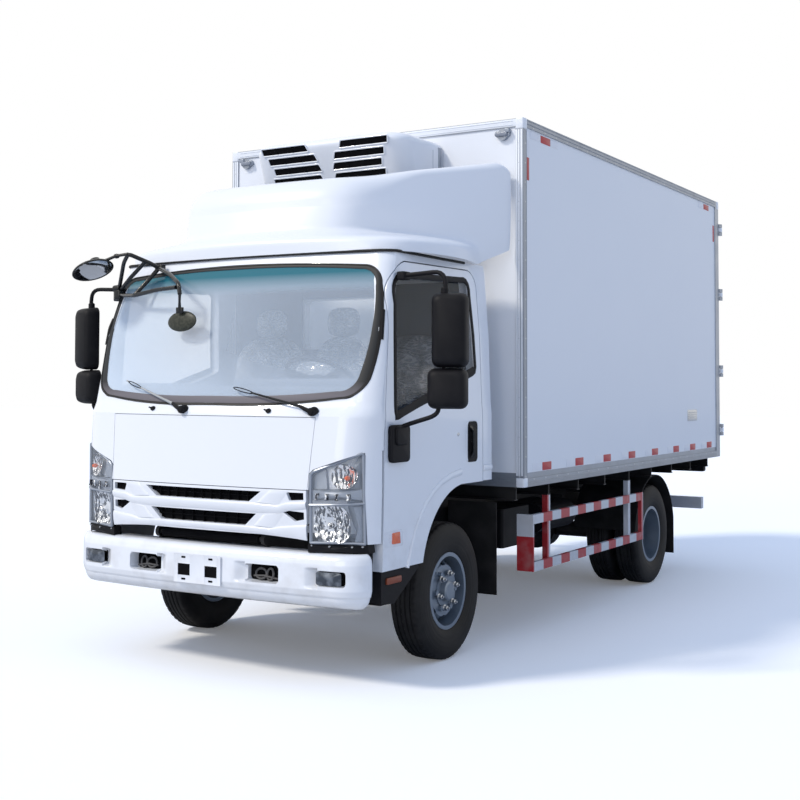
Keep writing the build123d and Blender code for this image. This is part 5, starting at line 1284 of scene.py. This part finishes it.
def tyre(middle_x, station, steps=216):
    """Rings round the axle. Section: bead, sidewall arc, shoulder, tread, and back inside. The
    tread drops by the larger of two shares of its depth: one near each groove, whose place
    goes to and fro with the angle, and one in every slit on the shoulder."""
    knots = np.array([
        (-77, RIM_SEAT), (-84, 226), (-92, 250), (-97, 285), (-97.5, 310), (-95, 338), (-90, 358),
        (-84, 371), (-78, 380), (-71, 386), (-60, 387), (-40, 388), (-20, 388.7), (0, 389)], float)
    path = np.concatenate([knots, knots[-2::-1] * [-1, 1]])
    run = distance_run(path)
    want = np.unique(np.concatenate([np.linspace(0, run[-1], 96), run]))
    offset, radius = at_distances(path, want).T
    inner = np.array([(70, 372), (0, 376), (-70, 372), (-86, 300), (-74, RIM_SEAT)], float)
    angle = np.linspace(0, 2 * np.pi, steps, endpoint=False)[:, None]
    phase = (angle * BLOCKS / np.pi) % 2
    tread = np.clip((radius - 371) / 12, 0, 1)[None]
    from_groove = np.min([np.abs(offset[None] - place - 2.4 * np.abs(phase - 1) + 1.2)
                          for place in (-44, -15, 15, 44)], axis=0)
    groove = np.clip(1.5 - from_groove / 3.4, 0, 1)
    slit = (np.abs(offset[None]) > 56) & (phase < 0.5)
    drop = TREAD_DEPTH * tread * np.maximum(groove, 0.55 * slit)
    ridge = (np.where(np.abs(radius - 262) < 3, 1.2, 0)         # two fine rings on the sidewall
             + np.where(np.abs(radius - 352) < 3, 1.4, 0))
    outward = np.broadcast_to(offset + np.sign(offset) * ridge, drop.shape)
    inner_offset, inner_radius = (np.broadcast_to(inner[:, k], (steps, len(inner)))
                                  for k in (0, 1))
    full_offset = np.concatenate([outward, inner_offset], 1)
    full_radius = np.concatenate([radius[None] - drop, inner_radius], 1)
    rings = np.stack([middle_x + full_offset, station + full_radius * np.sin(angle),
                      TYRE_RADIUS + full_radius * np.cos(angle)], -1)
    return stack(rings, loop=True)


FRONT_TRACK, REAR_TRACK, TWIN_SPACING = 1680, 1542, 230
for hand, side in SIDES:
    build(f"front_tyre_tread_{hand}", f"front_wheel_{hand}", tyre_rubber,
          [tyre(side * FRONT_TRACK / 2, 0)], replaced=(f"front_tyre_{hand}",), sharp=38)
    pair = [tyre(side * (REAR_TRACK + shift * TWIN_SPACING) / 2, WHEELBASE, 180)
            for shift in (-1, 1)]
    build(f"rear_tyre_treads_{hand}", f"rear_wheels_{hand}", tyre_rubber,
          pair, replaced=(f"rear_tyres_{hand}",), sharp=38)

# %% [markdown]
# ## Wheel nuts
# The discs came with the frame, and nuts on studs finish them. The studs stand at equal angles
# on one circle, and the disc's own points say how far out they start.

# %% Nuts
def nuts(x_face, side, station, circle_radius=98, count=6):
    """Hexagonal nuts with a stud's end, at equal angles on a circle about the axle."""
    turns = np.linspace(0, 2 * np.pi, count, endpoint=False) + 0.3
    shells = []
    for turn in turns:
        place = (x_face, station + circle_radius * math.sin(turn),
                 TYRE_RADIUS + circle_radius * math.cos(turn))
        shells.append(turned([(0, -4), (20, -4), (20, 3), (15, 5), (15, 20), (12, 23), (8, 23),
                              (7, 32), (0, 33)], place, side * ACROSS, 6))
    return shells


def disc_face(node, side, station, inner=84, outer=112):
    """How far out the wheel's disc stands where the nuts sit: the greatest across of its
    points between two distances from the axle."""
    flat = np.empty(len(nodes[node].data.vertices) * 3)
    nodes[node].data.vertices.foreach_get("co", flat)
    spots = (flat.reshape(-1, 3) - [0, axle_y, 0]) * 1000
    away = np.hypot(spots[:, 1] - station, spots[:, 2] - TYRE_RADIUS)
    return np.max(side * spots[(away > inner) & (away < outer), 0])


for hand, side in SIDES:
    for node, station in ((f"front_wheel_{hand}", 0), (f"rear_wheels_{hand}", WHEELBASE)):
        face = disc_face(node, side, station)
        print(node, "disc face at", round(float(face), 1))
        build(f"{node}_nuts", node, steel,
              nuts(side * face, side, station), sharp=20)

# %% [markdown]
# ## Box trim
# The box is white panels held in aluminium. The posts carry rows of rivets, the rails have
# drawn ribs, and the corners have moulded caps. Hundreds of rivets need a shape of few faces.

# %% Rivets, ribs and caps
BOX_HALF, BOX_FRONT, BOX_REAR, BOX_LOW, BOX_TOP, EDGE = 1120, 598, 4760, 945, 3205, 52
rivets, ribs, caps = [], [], []


def rivet(place, axis, crown=2.6):
    """A low round head, its eight-sided rings 4 and 6 mm in radius."""
    return turned([(0, crown), (4, 2), (6, 0), (6, -2), (0, -2)], place, axis, 8)


for side in (-1, 1):
    for height in np.arange(1010, 3190, 120):
        rivets.append(rivet((side * BOX_HALF, BOX_FRONT + 30, height), side * ACROSS))
        rivets.append(rivet((side * (BOX_HALF - 30), BOX_FRONT, height), -BACK))
    for place in np.arange(BOX_FRONT + 150, BOX_REAR - 100, 180):
        rivets += [rivet((side * BOX_HALF, place, height), side * ACROSS, 2.4)
                   for height in (BOX_LOW + EDGE - 9, BOX_TOP - EDGE + 9)]
    for height in (BOX_LOW + 6, BOX_LOW + 18, BOX_LOW + 30, BOX_TOP - 8, BOX_TOP - 30):
        ribs.append(tube([(side * BOX_HALF, place, height)
                          for place in (BOX_FRONT + 4, BOX_REAR - 96)], 3.5, 2.2, sides=6))
    for place in (BOX_FRONT + 8, BOX_FRONT + EDGE - 6):
        ribs.append(tube([(side * BOX_HALF, place, height) for height in (
            BOX_LOW + 4, BOX_TOP - 4)], 2.2, 3.0, sides=6, up=BACK))
    caps += [block((side * (BOX_HALF - 26), place, height), size, radius, soft)
             for place, height, size, radius, soft in (
                 (BOX_FRONT + 27, BOX_TOP - 32, (62, 62, 70), 16, 8),
                 (BOX_REAR - 28, BOX_TOP - 32, (62, 62, 70), 16, 8),
                 (BOX_FRONT + 27, BOX_LOW + 28, (60, 60, 58), 12, 6))]
for height in np.linspace(BOX_LOW + 6, BOX_LOW + EDGE - 6, 5):
    ribs.append(tube([(x, BOX_FRONT, height) for x in (-BOX_HALF + 4, BOX_HALF - 4)],
                     2.2, 3, sides=6))
build("box_rivets", "chassis", steel, rivets)
build("box_rail_ribs", "chassis", aluminium, ribs)
build("box_corner_caps", "chassis", fairing_white, caps)
# The front faces of the rails and posts get thin plates of the lighter finish: painted light, as
# these faces catch the sun.
covers = [block((0, BOX_FRONT - 0.2, BOX_TOP - EDGE / 2), (2 * BOX_HALF - 8, 2.4, EDGE - 8),
                1, 0.5, along=1)]
for side in (-1, 1):
    for inset in (12, 30, 45):
        covers.append(block((side * (BOX_HALF - inset), BOX_FRONT - 0.6, (BOX_LOW + BOX_TOP) / 2),
                            (12, 3.2, BOX_TOP - BOX_LOW - 140), 2, 1, along=1))
for height in (BOX_TOP - 14, BOX_TOP - 38):
    covers.append(tube([(x, BOX_FRONT - 2, height) for x in (-BOX_HALF + 70, BOX_HALF - 70)],
                       2.5, 2, sides=6))
build("front_rail_faces", "chassis", painted_lit_rail, covers)

# %% [markdown]
# ## Marker lamps
# A lamp high on each corner of the box's front: a grey foot with a stalk, and a clear lens.

# %% Marker lamps
clear_lens = plain("clear_lens", (0.24, 0.26, 0.30), 0.15, dust=0.05, grain=140,
                   grain_depth=0.0004)
lamps, lamp_feet = [], []
for side in (-1, 1):
    where = np.array([side * 986, BOX_FRONT - 14, 3116])
    lamp_feet += [block(where + [0, 8, 0], (96, 22, 40), 14, 3, along=1),
                  block(where + [side * 34, 4, 16], (34, 40, 26), 8, 3, along=1)]
    lamps.append(block(where + [-side * 4, -8, -4], (84, 22, 28), 12, 7, along=1))
build("marker_lamp_feet", "chassis", reflector_grey, lamp_feet)
build("marker_lamps", "chassis", clear_lens, lamps)

# %% [markdown]
# ## Tapes
# Each strip of reflective tape is listed by where it starts and ends along the side and by its
# lower and upper edge. It becomes a block little more than a millimetre thick.

# %% Tapes and vent
TAPE_THICK, PANEL_OUT = 1.2, 1112
PAIRS = (740, 1280, 1792, 2296, 2812, 3328, 3768, 4236)
tapes = {
    "white": [(start, start + 128, 1036, 1084) for start in PAIRS] + [
        (714, 866, 3096, 3142), (1036, 1150, 3096, 3142), (664, 700, 2980, 3080),
        (4190, 4330, 3096, 3142)],
    "red": [(start + 152, start + 292, 1034, 1084) for start in PAIRS] + [
        (878, 1028, 3096, 3142), (664, 700, 2830, 2972), (4345, 4490, 3096, 3142),
        (4610, 4648, 2840, 2984)]}
TAPE_FINISH = {"white": tape_white, "red": tape_red}
for colour, rows in tapes.items():
    strips = [block((side * (PANEL_OUT + TAPE_THICK / 2), (start + end) / 2, (low + high) / 2),
                    (TAPE_THICK + 0.6, end - start, high - low), 3, 0.4, along=0)
              for side in (-1, 1) for start, end, low, high in rows]
    build(f"{colour}_tapes", "chassis", TAPE_FINISH[colour], strips)
vent = [block((PANEL_OUT, 3980, 1322), (8, 250, 92), 8, 2, along=0)]
vent += [block((PANEL_OUT + 5, 3980, height), (8, 210, 9), 3, 2, along=0)
         for height in (1296, 1313, 1330, 1347)]
build("side_vent", "chassis", steel, vent)

# %% [markdown]
# ## Rear end
# Each rear leaf is edged with a black gasket. Under the box a lamp bar carries a cluster on
# each side: stop, turn and reversing lenses in a row. A tape runs down each rear post.

# %% Rear lamps, gaskets and tapes
def round_the_leaf(side, half_x, half_z, corner, station):
    """A closed line round a rear leaf, on a plane a little behind its face."""
    edge = rounded(half_x, half_z, corner, 4) + [side * 523, 2075]
    return np.stack([edge[:, 0], np.full(len(edge), station), edge[:, 1]], -1)


LAMP_ACROSS, LAMP_HEIGHT = 820, 868
for hand, side in SIDES:
    leaf = f"rear_door_{hand}"
    gasket = round_the_leaf(side, 508, 1046, 14, BOX_REAR + 1.0)
    edging = round_the_leaf(side, 494, 1032, 10, BOX_REAR + 0.5)
    build(f"rear_door_gasket_{hand}", leaf, seal_rubber,
          [tube(gasket, 9, 5, sides=8, loop=True, up=BACK)])
    build(f"rear_door_edging_{hand}", leaf, aluminium_post,
          [tube(edging, 16, 3, sides=8, loop=True, up=BACK)])
    build(f"tail_lamp_base_{hand}", "chassis", black_plastic, [
        block((side * LAMP_ACROSS, BOX_REAR - 60, LAMP_HEIGHT), (360, 60, 116), 14, 4, along=1)])
    for shift, width, finish, word in (
            (-110, 108, red_lens, "stop"), (8, 104, orange, "turn"),
            (118, 96, tape_white, "reverse")):
        build(f"tail_lamp_{word}_{hand}", "chassis", finish, [
            block((side * (LAMP_ACROSS + shift), BOX_REAR - 26, LAMP_HEIGHT), (width, 22, 88),
                  16, 6, along=1)])
rear_tapes = {"white": [], "red": []}
for side in (-1, 1):
    for index, low in enumerate(np.arange(1000, 3050, 148)):
        rear_tapes["white" if index % 2 else "red"].append(
            block((side * 1082, BOX_REAR, low + 70), (40, 2.4, 138), 2, 0.4, along=1))
for colour, strips in rear_tapes.items():
    build(f"rear_{colour}_tapes", "chassis", TAPE_FINISH[colour], strips)

# %% [markdown]
# ## Inside the cab
# Through the glass one sees grey linings, a high dashboard and three seats. The linings are
# thin panels a little inside the walls; the rear one is four plates round the rear window.

# %% Linings and dashboard
lining = [plate([(x0, z0), (x1, z0), (x1, z1), (x0, z1)], (0, 342, 0), ACROSS, UP, 6, 1)
          for x0, z0, x1, z1 in ((-880, 1060, -330, 2190), (330, 1060, 880, 2190),
                                 (-330, 1060, 330, 1792), (-330, 2118, 330, 2190))]
lining.append(block((0, -190, 2222), (1560, 920, 10), 60, 3))
build("cab_lining", "cab", dark_trim, lining)
for hand, side in SIDES:
    build(f"door_card_{hand}", f"cab_door_{hand}", dark_trim,
          [block((side * 926, -240, 1300), (8, 780, 320), 60, 2, along=0)])
build("dashboard_top", "cab", grey_plastic, [
    block((0, -806, 1518), (1680, 190, 76), 40, 18),
    block((-430, -800, 1540), (700, 150, 60), 40, 16),
    block((420, -780, 1566), (820, 190, 62), 60, 20)])

# %% [markdown]
# ## Wrapped seats
# The seats are still in their wrapping. A pad is a superellipsoid whose faces bulge, so its
# edges pull in and its middle stands out, with shallow folds on top. The driver's seat has no
# headrest pad, but a loose lump of its wrapping lies by the wheel.

# %% Wrapped seats
def pad(middle, half, lean, bulge, folds, power=3.2, steps=40, rings=26):
    """A superellipsoid: |x/a|^p + |y/b|^p + |z/c|^p = 1, leaned about the across axis by an
    angle in degrees, with a bulge in the middle of its broad faces and shallow sine folds."""
    def bend(wave):
        """A sine or cosine raised to 2/p, with its sign kept."""
        return np.sign(wave) * np.abs(wave) ** (2 / power)

    across = np.linspace(0, 2 * np.pi, steps, endpoint=False)[None]
    rise = np.linspace(-np.pi / 2 + 0.02, np.pi / 2 - 0.02, rings)[:, None]
    x = half[0] * bend(np.cos(rise)) * bend(np.cos(across))
    y = half[1] * bend(np.cos(rise)) * bend(np.sin(across))
    z = half[2] * bend(np.sin(rise)) + 0 * across
    swell = (1 - (x / half[0]) ** 2) * (1 - (z / half[2]) ** 2)
    wave = np.sin(0.05 * z + 0.02 * x + 2 * np.sin(0.013 * x))
    y = y * (1 + bulge * swell) + folds * wave * swell
    turn = math.radians(lean)
    return stack(np.stack([middle[0] + x, middle[1] + y * math.cos(turn) + z * math.sin(turn),
                           middle[2] + z * math.cos(turn) - y * math.sin(turn)], -1))


DRIVER = 560                            # across of the driver's seat, behind the wheel
pads = []
for place, width in ((DRIVER, 480), (40, 400), (-520, 560)):
    pads.append(pad((place, -80, 1128), (width / 2 - 4, 240, 70), lean=3, bulge=0, folds=0))
    pads.append(pad((place, 215, 1520), (width / 2 - 6, 62, 350), lean=7, bulge=0.35, folds=6))
    if place != DRIVER:
        pads.append(pad((place, 256, 1960), (112, 42, 92), lean=4, bulge=0.2, folds=4))
pads.append(pad((352, -505, 1632), (140, 50, 66), lean=20, bulge=0.2, folds=4))
wrapped = build("wrapped_seats", "cab", seat_film, pads, replaced=("seats",),
                sharp=60)

# %% [markdown]
# ## Roof fairing
# The fairing is a deep moulding: a dome that flares back to the box's corners, on a wider skirt
# that covers the roof's edge. It is easiest to write in polar form about the middle of its rear
# end: for each direction and height, a radius. Dome and skirt each give one, and the larger one
# wins low down. A Gaussian blur of that table rounds every crease, as a mould has to be round.

# %% Plans of the dome and the skirt
FAIRING_REAR, FAIRING_LOW, SKIRT_TOP = 556, 2284, 2385
DOME_LEVELS = np.array([
    # height, front, nose corner across, nose corner station, half width at the rear
    (2300, -700, 560, -600, 1045), (2440, -690, 570, -590, 1060), (2580, -640, 590, -550, 1064),
    (2730, -560, 580, -490, 1066), (2960, -440, 560, -400, 1064)], float)
DIRECTIONS = np.linspace(0, np.pi / 2, 91)


def polar_radius(outline):
    """Radius of a half outline (across, station) from the rear middle, at each direction."""
    reach = outline - [0, FAIRING_REAR]
    angle = np.arctan2(-reach[:, 1], reach[:, 0])
    order = np.argsort(angle)
    return np.interp(DIRECTIONS, angle[order], np.linalg.norm(reach, axis=1)[order])


def dome_radius(height):
    """The dome's plan at a height: an arc to the nose corner, then an arc out to the rear."""
    front, nose_x, nose_y, tail = (
        np.interp(height, DOME_LEVELS[:, 0], DOME_LEVELS[:, column]) for column in range(1, 5))
    side_mid = (nose_x + 0.40 * (tail - nose_x), nose_y + 0.36 * (FAIRING_REAR - nose_y))
    nose = arc((-nose_x, nose_y), (0, front), (nose_x, nose_y), 80)[40:]
    return polar_radius(np.concatenate([
        nose, arc((nose_x, nose_y), side_mid, (tail, FAIRING_REAR), 60)]))


def skirt_radius(height):
    """The skirt's plan: the cab's own bow, then straight back along its flank."""
    half = np.interp(height, SKIRT_LEVELS[:, 0], SKIRT_LEVELS[:, 4])
    across = 950 * np.sin(np.linspace(0, np.pi / 2, 60)) * half / 950
    return polar_radius(np.concatenate([
        np.stack([across, bow(across, height, SKIRT_LEVELS)], -1),
        [(half, 290), (half * 0.9, 500)]]))


def blurred(table, sigma, axis):
    """Gaussian average along one axis, with the ends repeated."""
    reach = int(3 * sigma)
    weights = np.exp(-0.5 * (np.arange(-reach, reach + 1) / sigma) ** 2)
    padding = [(reach, reach) if k == axis else (0, 0) for k in range(2)]
    wide = np.pad(table, padding, mode="edge" if axis else "reflect")
    return np.apply_along_axis(
        lambda line: np.convolve(line, weights / weights.sum(), "valid"), axis, wide)


print("the dome's nose lies", round(float(dome_radius(2600)[-1])), "mm before its rear")

# %% [markdown]
# ## The fairing's wall
# The table of radii becomes one ring for each direction: up the outer wall, over a rounded
# edge, and back down the inner wall. The edge climbs from the crest in front to the wings.

# %% Fairing
CREST_STATION, CREST, WING = -250, 2786, 2935
WALL, SHELF = 24, 50                    # the moulding's thickness, and the shelf's width
MARGIN_AROUND, MARGIN_UP = 18, 6        # rows added before the blur and cut off after it


def fairing():
    """Radius: the dome's, or the skirt's where that is larger and low, blurred. Top edge: a
    straight climb with the station, bent down near the rear. Roll: a quarter circle."""
    heights = np.linspace(FAIRING_LOW, 3000, 60)
    dome = np.stack([dome_radius(max(height, 2300)) for height in heights], 1)
    skirt = np.stack([skirt_radius(min(height, SKIRT_TOP)) for height in heights], 1)
    share = 1 - step_up(heights, 2362, 2424)
    table = dome + np.maximum(skirt - dome, 0) * share[None]
    whole = np.concatenate([table, table[-2::-1]])
    angle = np.concatenate([DIRECTIONS, np.pi - DIRECTIONS[-2::-1]])
    padded = np.pad(whole, ((MARGIN_AROUND,) * 2, (MARGIN_UP,) * 2), mode="edge")
    smooth_table = blurred(blurred(padded, 4.0, 0), 1.3, 1)
    smooth_table = smooth_table[MARGIN_AROUND:-MARGIN_AROUND, MARGIN_UP:-MARGIN_UP]
    spoke = np.stack([np.cos(angle), -np.sin(angle), np.zeros_like(angle)], -1)
    rings = []
    for row, direction in zip(smooth_table, spoke):
        station = FAIRING_REAR + np.interp(2850, heights, row) * direction[1]
        top = CREST + (WING - CREST) * (station - CREST_STATION) / (FAIRING_REAR - CREST_STATION)
        top -= 42 * np.clip((station - 440) / 116, 0, 1) ** 2.5
        roll = 46 + 130 * step_up(-station, 40, 460)
        foot = 2283 + 106 * np.clip((station - 278) / 278, 0, 1)
        wall = np.linspace(foot, top - roll, 34)
        out = np.interp(wall, heights, row)
        turn = np.linspace(0.2, np.pi / 2, 7)
        back = turn[::-1]
        level = np.concatenate([
            wall, top - roll + roll * np.sin(turn), [top - 3, top - WALL],
            top - roll + (roll - WALL) * np.sin(back), wall[::-1]])
        radius = np.concatenate([
            out, out[-1] - roll * (1 - np.cos(turn)), out[-1] - roll - np.array([SHELF, SHELF + 2]),
            out[-1] - roll + (roll - WALL) * np.cos(back), out[::-1] - WALL])
        rings.append([0, FAIRING_REAR, 0] + radius[:, None] * direction + level[:, None] * UP)
    return stack(rings)


build("fairing_shell", "cab", fairing_white, [fairing()],
      replaced=("roof_fairing",), sharp=70)

# %% [markdown]
# ## Cooling unit
# The unit is a rounded housing that leans forward over the fairing. It is a stack of plan
# outlines with large front corners; the highest ones shrink along a quarter circle, which
# rounds the roof's edge. Each slot is a dark well with a soft lip round it: the well is painted
# shade, in a black that barely shines.

# %% Unit housing
UNIT_HALF, UNIT_REAR, UNIT_LOW, UNIT_TOP = 562, 594, 2700, 3105
LEAN_TOP = 3072
UNIT_FRONT = np.array([(2700, 222), (2740, 192), (LEAN_TOP, 62), (3105, 62)], float)


def unit_front(height):
    """Station of the unit's front at a height: straight lines between four places."""
    return np.interp(height, UNIT_FRONT[:, 0], UNIT_FRONT[:, 1])


def unit_housing(corner=128, roll=62):
    """Plan outlines stacked upwards: a rectangle with round front corners; over the roll it
    shrinks by the roll times one minus the cosine."""
    turn = np.linspace(0, np.pi / 2, 9)
    edge = UNIT_TOP - roll
    heights = np.concatenate([np.linspace(UNIT_LOW, edge, 14), (edge + roll * np.sin(turn))[1:]])
    shrink = np.concatenate([np.zeros(14), (roll * (1 - np.cos(turn)))[1:]])
    quarter = np.linspace(0, np.pi / 2, 10)
    rings = []
    for height, inset in zip(heights, shrink):
        half, front = UNIT_HALF - inset, unit_front(min(height, LEAN_TOP)) + inset
        bend = np.stack([half - corner + corner * np.cos(quarter),
                         front + corner - corner * np.sin(quarter)], -1)
        outline = mirrored(np.concatenate([[(half, UNIT_REAR)], bend]))
        rings.append(np.column_stack([outline, np.full(len(outline), height)]))
    return stack(rings)


build("unit_housing_shell", "chassis", unit_white, [unit_housing()],
      replaced=("fridge_unit", "fridge_coil"), sharp=50)


def on_unit(line, proud):
    """A line of (across, height) laid on the unit's leaning front, proud of it."""
    return np.stack([line[:, 0], unit_front(line[:, 1]) - proud, line[:, 1]], -1)


wells, slot_lips = [], []
for middle, inner, outer in ((2867, 34, 415), (2929, 36, 400), (2991, 56, 428), (3053, 112, 465)):
    for side in (-1, 1):
        corners = [(inner, -23), (outer, -23), (outer + 8, 23), (inner + 20, 23)]
        outline = softened([(side * x, middle + rise) for x, rise in corners], 9)
        slot_lips.append(tube(on_unit(outline, 1.5), 5, 4, sides=8, loop=True, up=BACK))
        # The well is a shallow shell in the black of painted shade, standing for the dark inside
        # the slot.
        front_ring = on_unit(drawn_in(outline, 2), 1.2)
        wells.append(stack([front_ring, front_ring + [0, 8, 0]]))
        for share in (0.33, 0.67):      # two thin bars cross each slot
            x, y = side * (inner + (outer - inner) * share), unit_front(middle) - 2.2
            wells.append(tube([(x, y, middle - 20), (x + side * 9, y, middle + 20)],
                              2, 2, sides=6, up=BACK))
build("unit_slot_wells", "chassis", painted_shade_black, wells)
build("unit_slot_lips", "chassis", unit_white, slot_lips)
seams = []
for side in (-1, 1):
    seams.append(tube([(side * (UNIT_HALF + 0.4), 470, height)
                       for height in (UNIT_LOW + 4, UNIT_TOP - 66)], 1.6, 1.6, sides=6, up=BACK))
    seams.append(block((side * UNIT_HALF, 560, 2900), (5, 44, 330), 4, 1.5, along=0))
build("unit_side_seams", "chassis", reflector_grey, seams)

# %% [markdown]
# ## Entry steps
# Behind each bumper end a black well holds the step. It is four plates: a skirt outside, a
# wall inside, a tread, and a front wall that ends above the bumper's foot.

# %% Steps
skirt_line = [(-845, 600), (-845, 436), (-712, 424), (-452, 582), (-452, 600)]
well_plates = []
for side in (-1, 1):
    for x, thick in ((978, 10), (868, 8)):
        well_plates.append(stack([[(side * place, y, z) for y, z in skirt_line]
                                  for place in (x, x - thick)]))
    well_plates += [block((side * 918, -778, 434), (112, 132, 10), 4, 2),
                    block((side * 806, -842, 520), (330, 8, 160), 4, 2, along=1),
                    block((side * 754, -640, 596), (230, 390, 8), 4, 2)]
    well_plates += [block((side * 918, -778 + offset, 440), (96, 8, 6), 2, 1)
                    for offset in (-48, -24, 0, 24, 48)]
build("entry_steps", "cab", black_plastic, well_plates,
      replaced=("cab_steps",))

# %% [markdown]
# ## The parts that keep their shape
# Every part that no new piece stands for is copied now, with the finish that the table gives it.

# %% Copy the rest
for node in sorted(DRESS):
    smooth_copy(node)
print(len(DRESS), "parts copied")

# %% [markdown]
# ## Floor, light and camera
# A pale floor fades into a white background but keeps the truck's shadow. Light Path tells a
# material which ray asks: rays from the camera meet a white floor that glows a little, and all
# others a pale grey one without a glow, so little light comes up from below.

# %% Floor
def make_floor(reach=60.0):
    """A square of twice the reach, in metres, with two answers to a ray."""
    mesh = bpy.data.meshes.new("floor")
    mesh.from_pydata([(-reach, -reach, 0), (reach, -reach, 0), (reach, reach, 0),
                      (-reach, reach, 0)], [], [(0, 1, 2, 3)])
    floor = bpy.data.objects.new("floor", mesh)
    bpy.context.scene.collection.objects.link(floor)
    finish = Finish("pale_floor", Roughness=0.9)
    seen = finish.node("ShaderNodeLightPath", output="Is Camera Ray")
    grain = finish.noise(3, 3) * 0.02
    pale = finish.mix(grain, (0.62, 0.62, 0.62), (0.55, 0.55, 0.55))
    finish.set("Base Color", finish.mix(seen, pale, (1.0, 1.0, 1.0)))
    glow = finish.node("ShaderNodeEmission", {}, {"Color": (1.0, 1.0, 1.0), "Strength": 0.12})
    plain_surface = Flow(finish, finish.shader.outputs[0])
    lit = finish.node("ShaderNodeAddShader", {}, {0: plain_surface, 1: glow})
    both = finish.node("ShaderNodeMixShader", {}, {0: seen, 1: plain_surface, 2: lit})
    output = next(n for n in finish.tree.nodes if n.type == "OUTPUT_MATERIAL")
    finish.tree.links.new(both.socket, output.inputs["Surface"])
    mesh.materials.append(finish.material)
    print("floor", 2 * reach, "m square")


make_floor()

# %% [markdown]
# ## Sky and sun
# The sky gives a cool even light, as open shade does. For three kinds of ray it is white: the
# camera's own, those that passed through glass, and those that shine off a surface. A broad sun
# in front and to the truck's right makes the front faces the brightest and leaves the box's
# long left side a tone darker. A weak low one keeps the front from going grey.

# %% Sky and sun
SKY = (0.370, 0.497, 0.755)
world = bpy.data.worlds.new("studio")
bpy.context.scene.world = world
world.use_nodes = True
sky = world.node_tree
rays = sky.nodes.new("ShaderNodeLightPath").outputs


def either(first, second):
    """A Math node that gives the larger of two sockets: 1 where any of them is 1."""
    larger = sky.nodes.new("ShaderNodeMath")
    larger.operation = "MAXIMUM"
    sky.links.new(first, larger.inputs[0])
    sky.links.new(second, larger.inputs[1])
    return larger.outputs[0]


sees_white = either(either(rays["Is Camera Ray"], rays["Is Transmission Ray"]),
                    rays["Is Glossy Ray"])
colour = sky.nodes.new("ShaderNodeMix")
colour.data_type = "RGBA"
sky.links.new(sees_white, colour.inputs[0])
colour.inputs[6].default_value = (*SKY, 1)
colour.inputs[7].default_value = (1, 1, 1, 1)
sky.links.new(colour.outputs[2], sky.nodes["Background"].inputs["Color"])


def sun(name, direction, strength, colour, softness):
    """A sun lamp that shines along the direction, given in world axes."""
    lamp = bpy.data.lights.new(name, "SUN")
    lamp.energy, lamp.color, lamp.angle = strength, colour, math.radians(softness)
    holder = bpy.data.objects.new(name, lamp)
    bpy.context.scene.collection.objects.link(holder)
    backwards = -np.asarray(direction, float) / np.linalg.norm(direction)
    first = np.cross(UP, backwards)
    first /= np.linalg.norm(first)
    turn = np.stack([first, np.cross(backwards, first), backwards], 1)
    holder.matrix_world = Matrix(turn.tolist()).to_4x4()
    print(name, "of strength", strength)


sun("high_sun", (0.75, 1.0, -1.2), 2.0, (1.0, 0.94, 0.84), 10)
sun("low_fill", (0.0, 1.0, -0.30), 0.5, (1.0, 0.96, 0.92), 30)

# %% [markdown]
# ## Camera
# The camera stands off the truck's left front corner at chest height, some seven metres away.
# Its turn is built from three angles in radians: yaw about the vertical, a slight upward pitch,
# and a trace of roll. The lens comes from the focal length in pixels of an 800-pixel frame, and
# the shift from where the frame's middle lies.

# %% Camera
CAMERA_PLACE = (4294.1, -6381.1, 1559.3)
YAW, PITCH, ROLL = 0.566031, 0.038354, 0.003408
FOCAL_PIXELS, CENTRE_X, CENTRE_Y, FRAME_PIXELS = 1249.04, 348.75, 337.72, 800
ahead = np.array([-math.sin(YAW) * math.cos(PITCH), math.cos(YAW) * math.cos(PITCH),
                  math.sin(PITCH)])
right = np.array([math.cos(YAW), math.sin(YAW), 0])
upward = np.cross(right, ahead)
right, upward = (math.cos(ROLL) * right + math.sin(ROLL) * upward,
                 -math.sin(ROLL) * right + math.cos(ROLL) * upward)
lens = bpy.data.cameras.new("camera")
lens.sensor_width = 36
lens.lens = FOCAL_PIXELS / FRAME_PIXELS * lens.sensor_width
lens.shift_x = (FRAME_PIXELS / 2 - CENTRE_X) / FRAME_PIXELS
lens.shift_y = (CENTRE_Y - FRAME_PIXELS / 2) / FRAME_PIXELS
lens.clip_end = 200
camera = bpy.data.objects.new("camera", lens)
bpy.context.scene.collection.objects.link(camera)
pose = np.eye(4)
pose[:3, :3] = np.stack([right, upward, -ahead], 1)
pose[:3, 3] = metres(CAMERA_PLACE)
camera.matrix_world = Matrix(pose.tolist())
bpy.context.scene.camera = camera
bpy.context.scene.view_settings.view_transform = "Standard"
print("lens", round(lens.lens, 2), "mm")

# %% [markdown]
# ## Finish
# The view layer is brought up to date.

# %% Finish
bpy.context.view_layer.update()
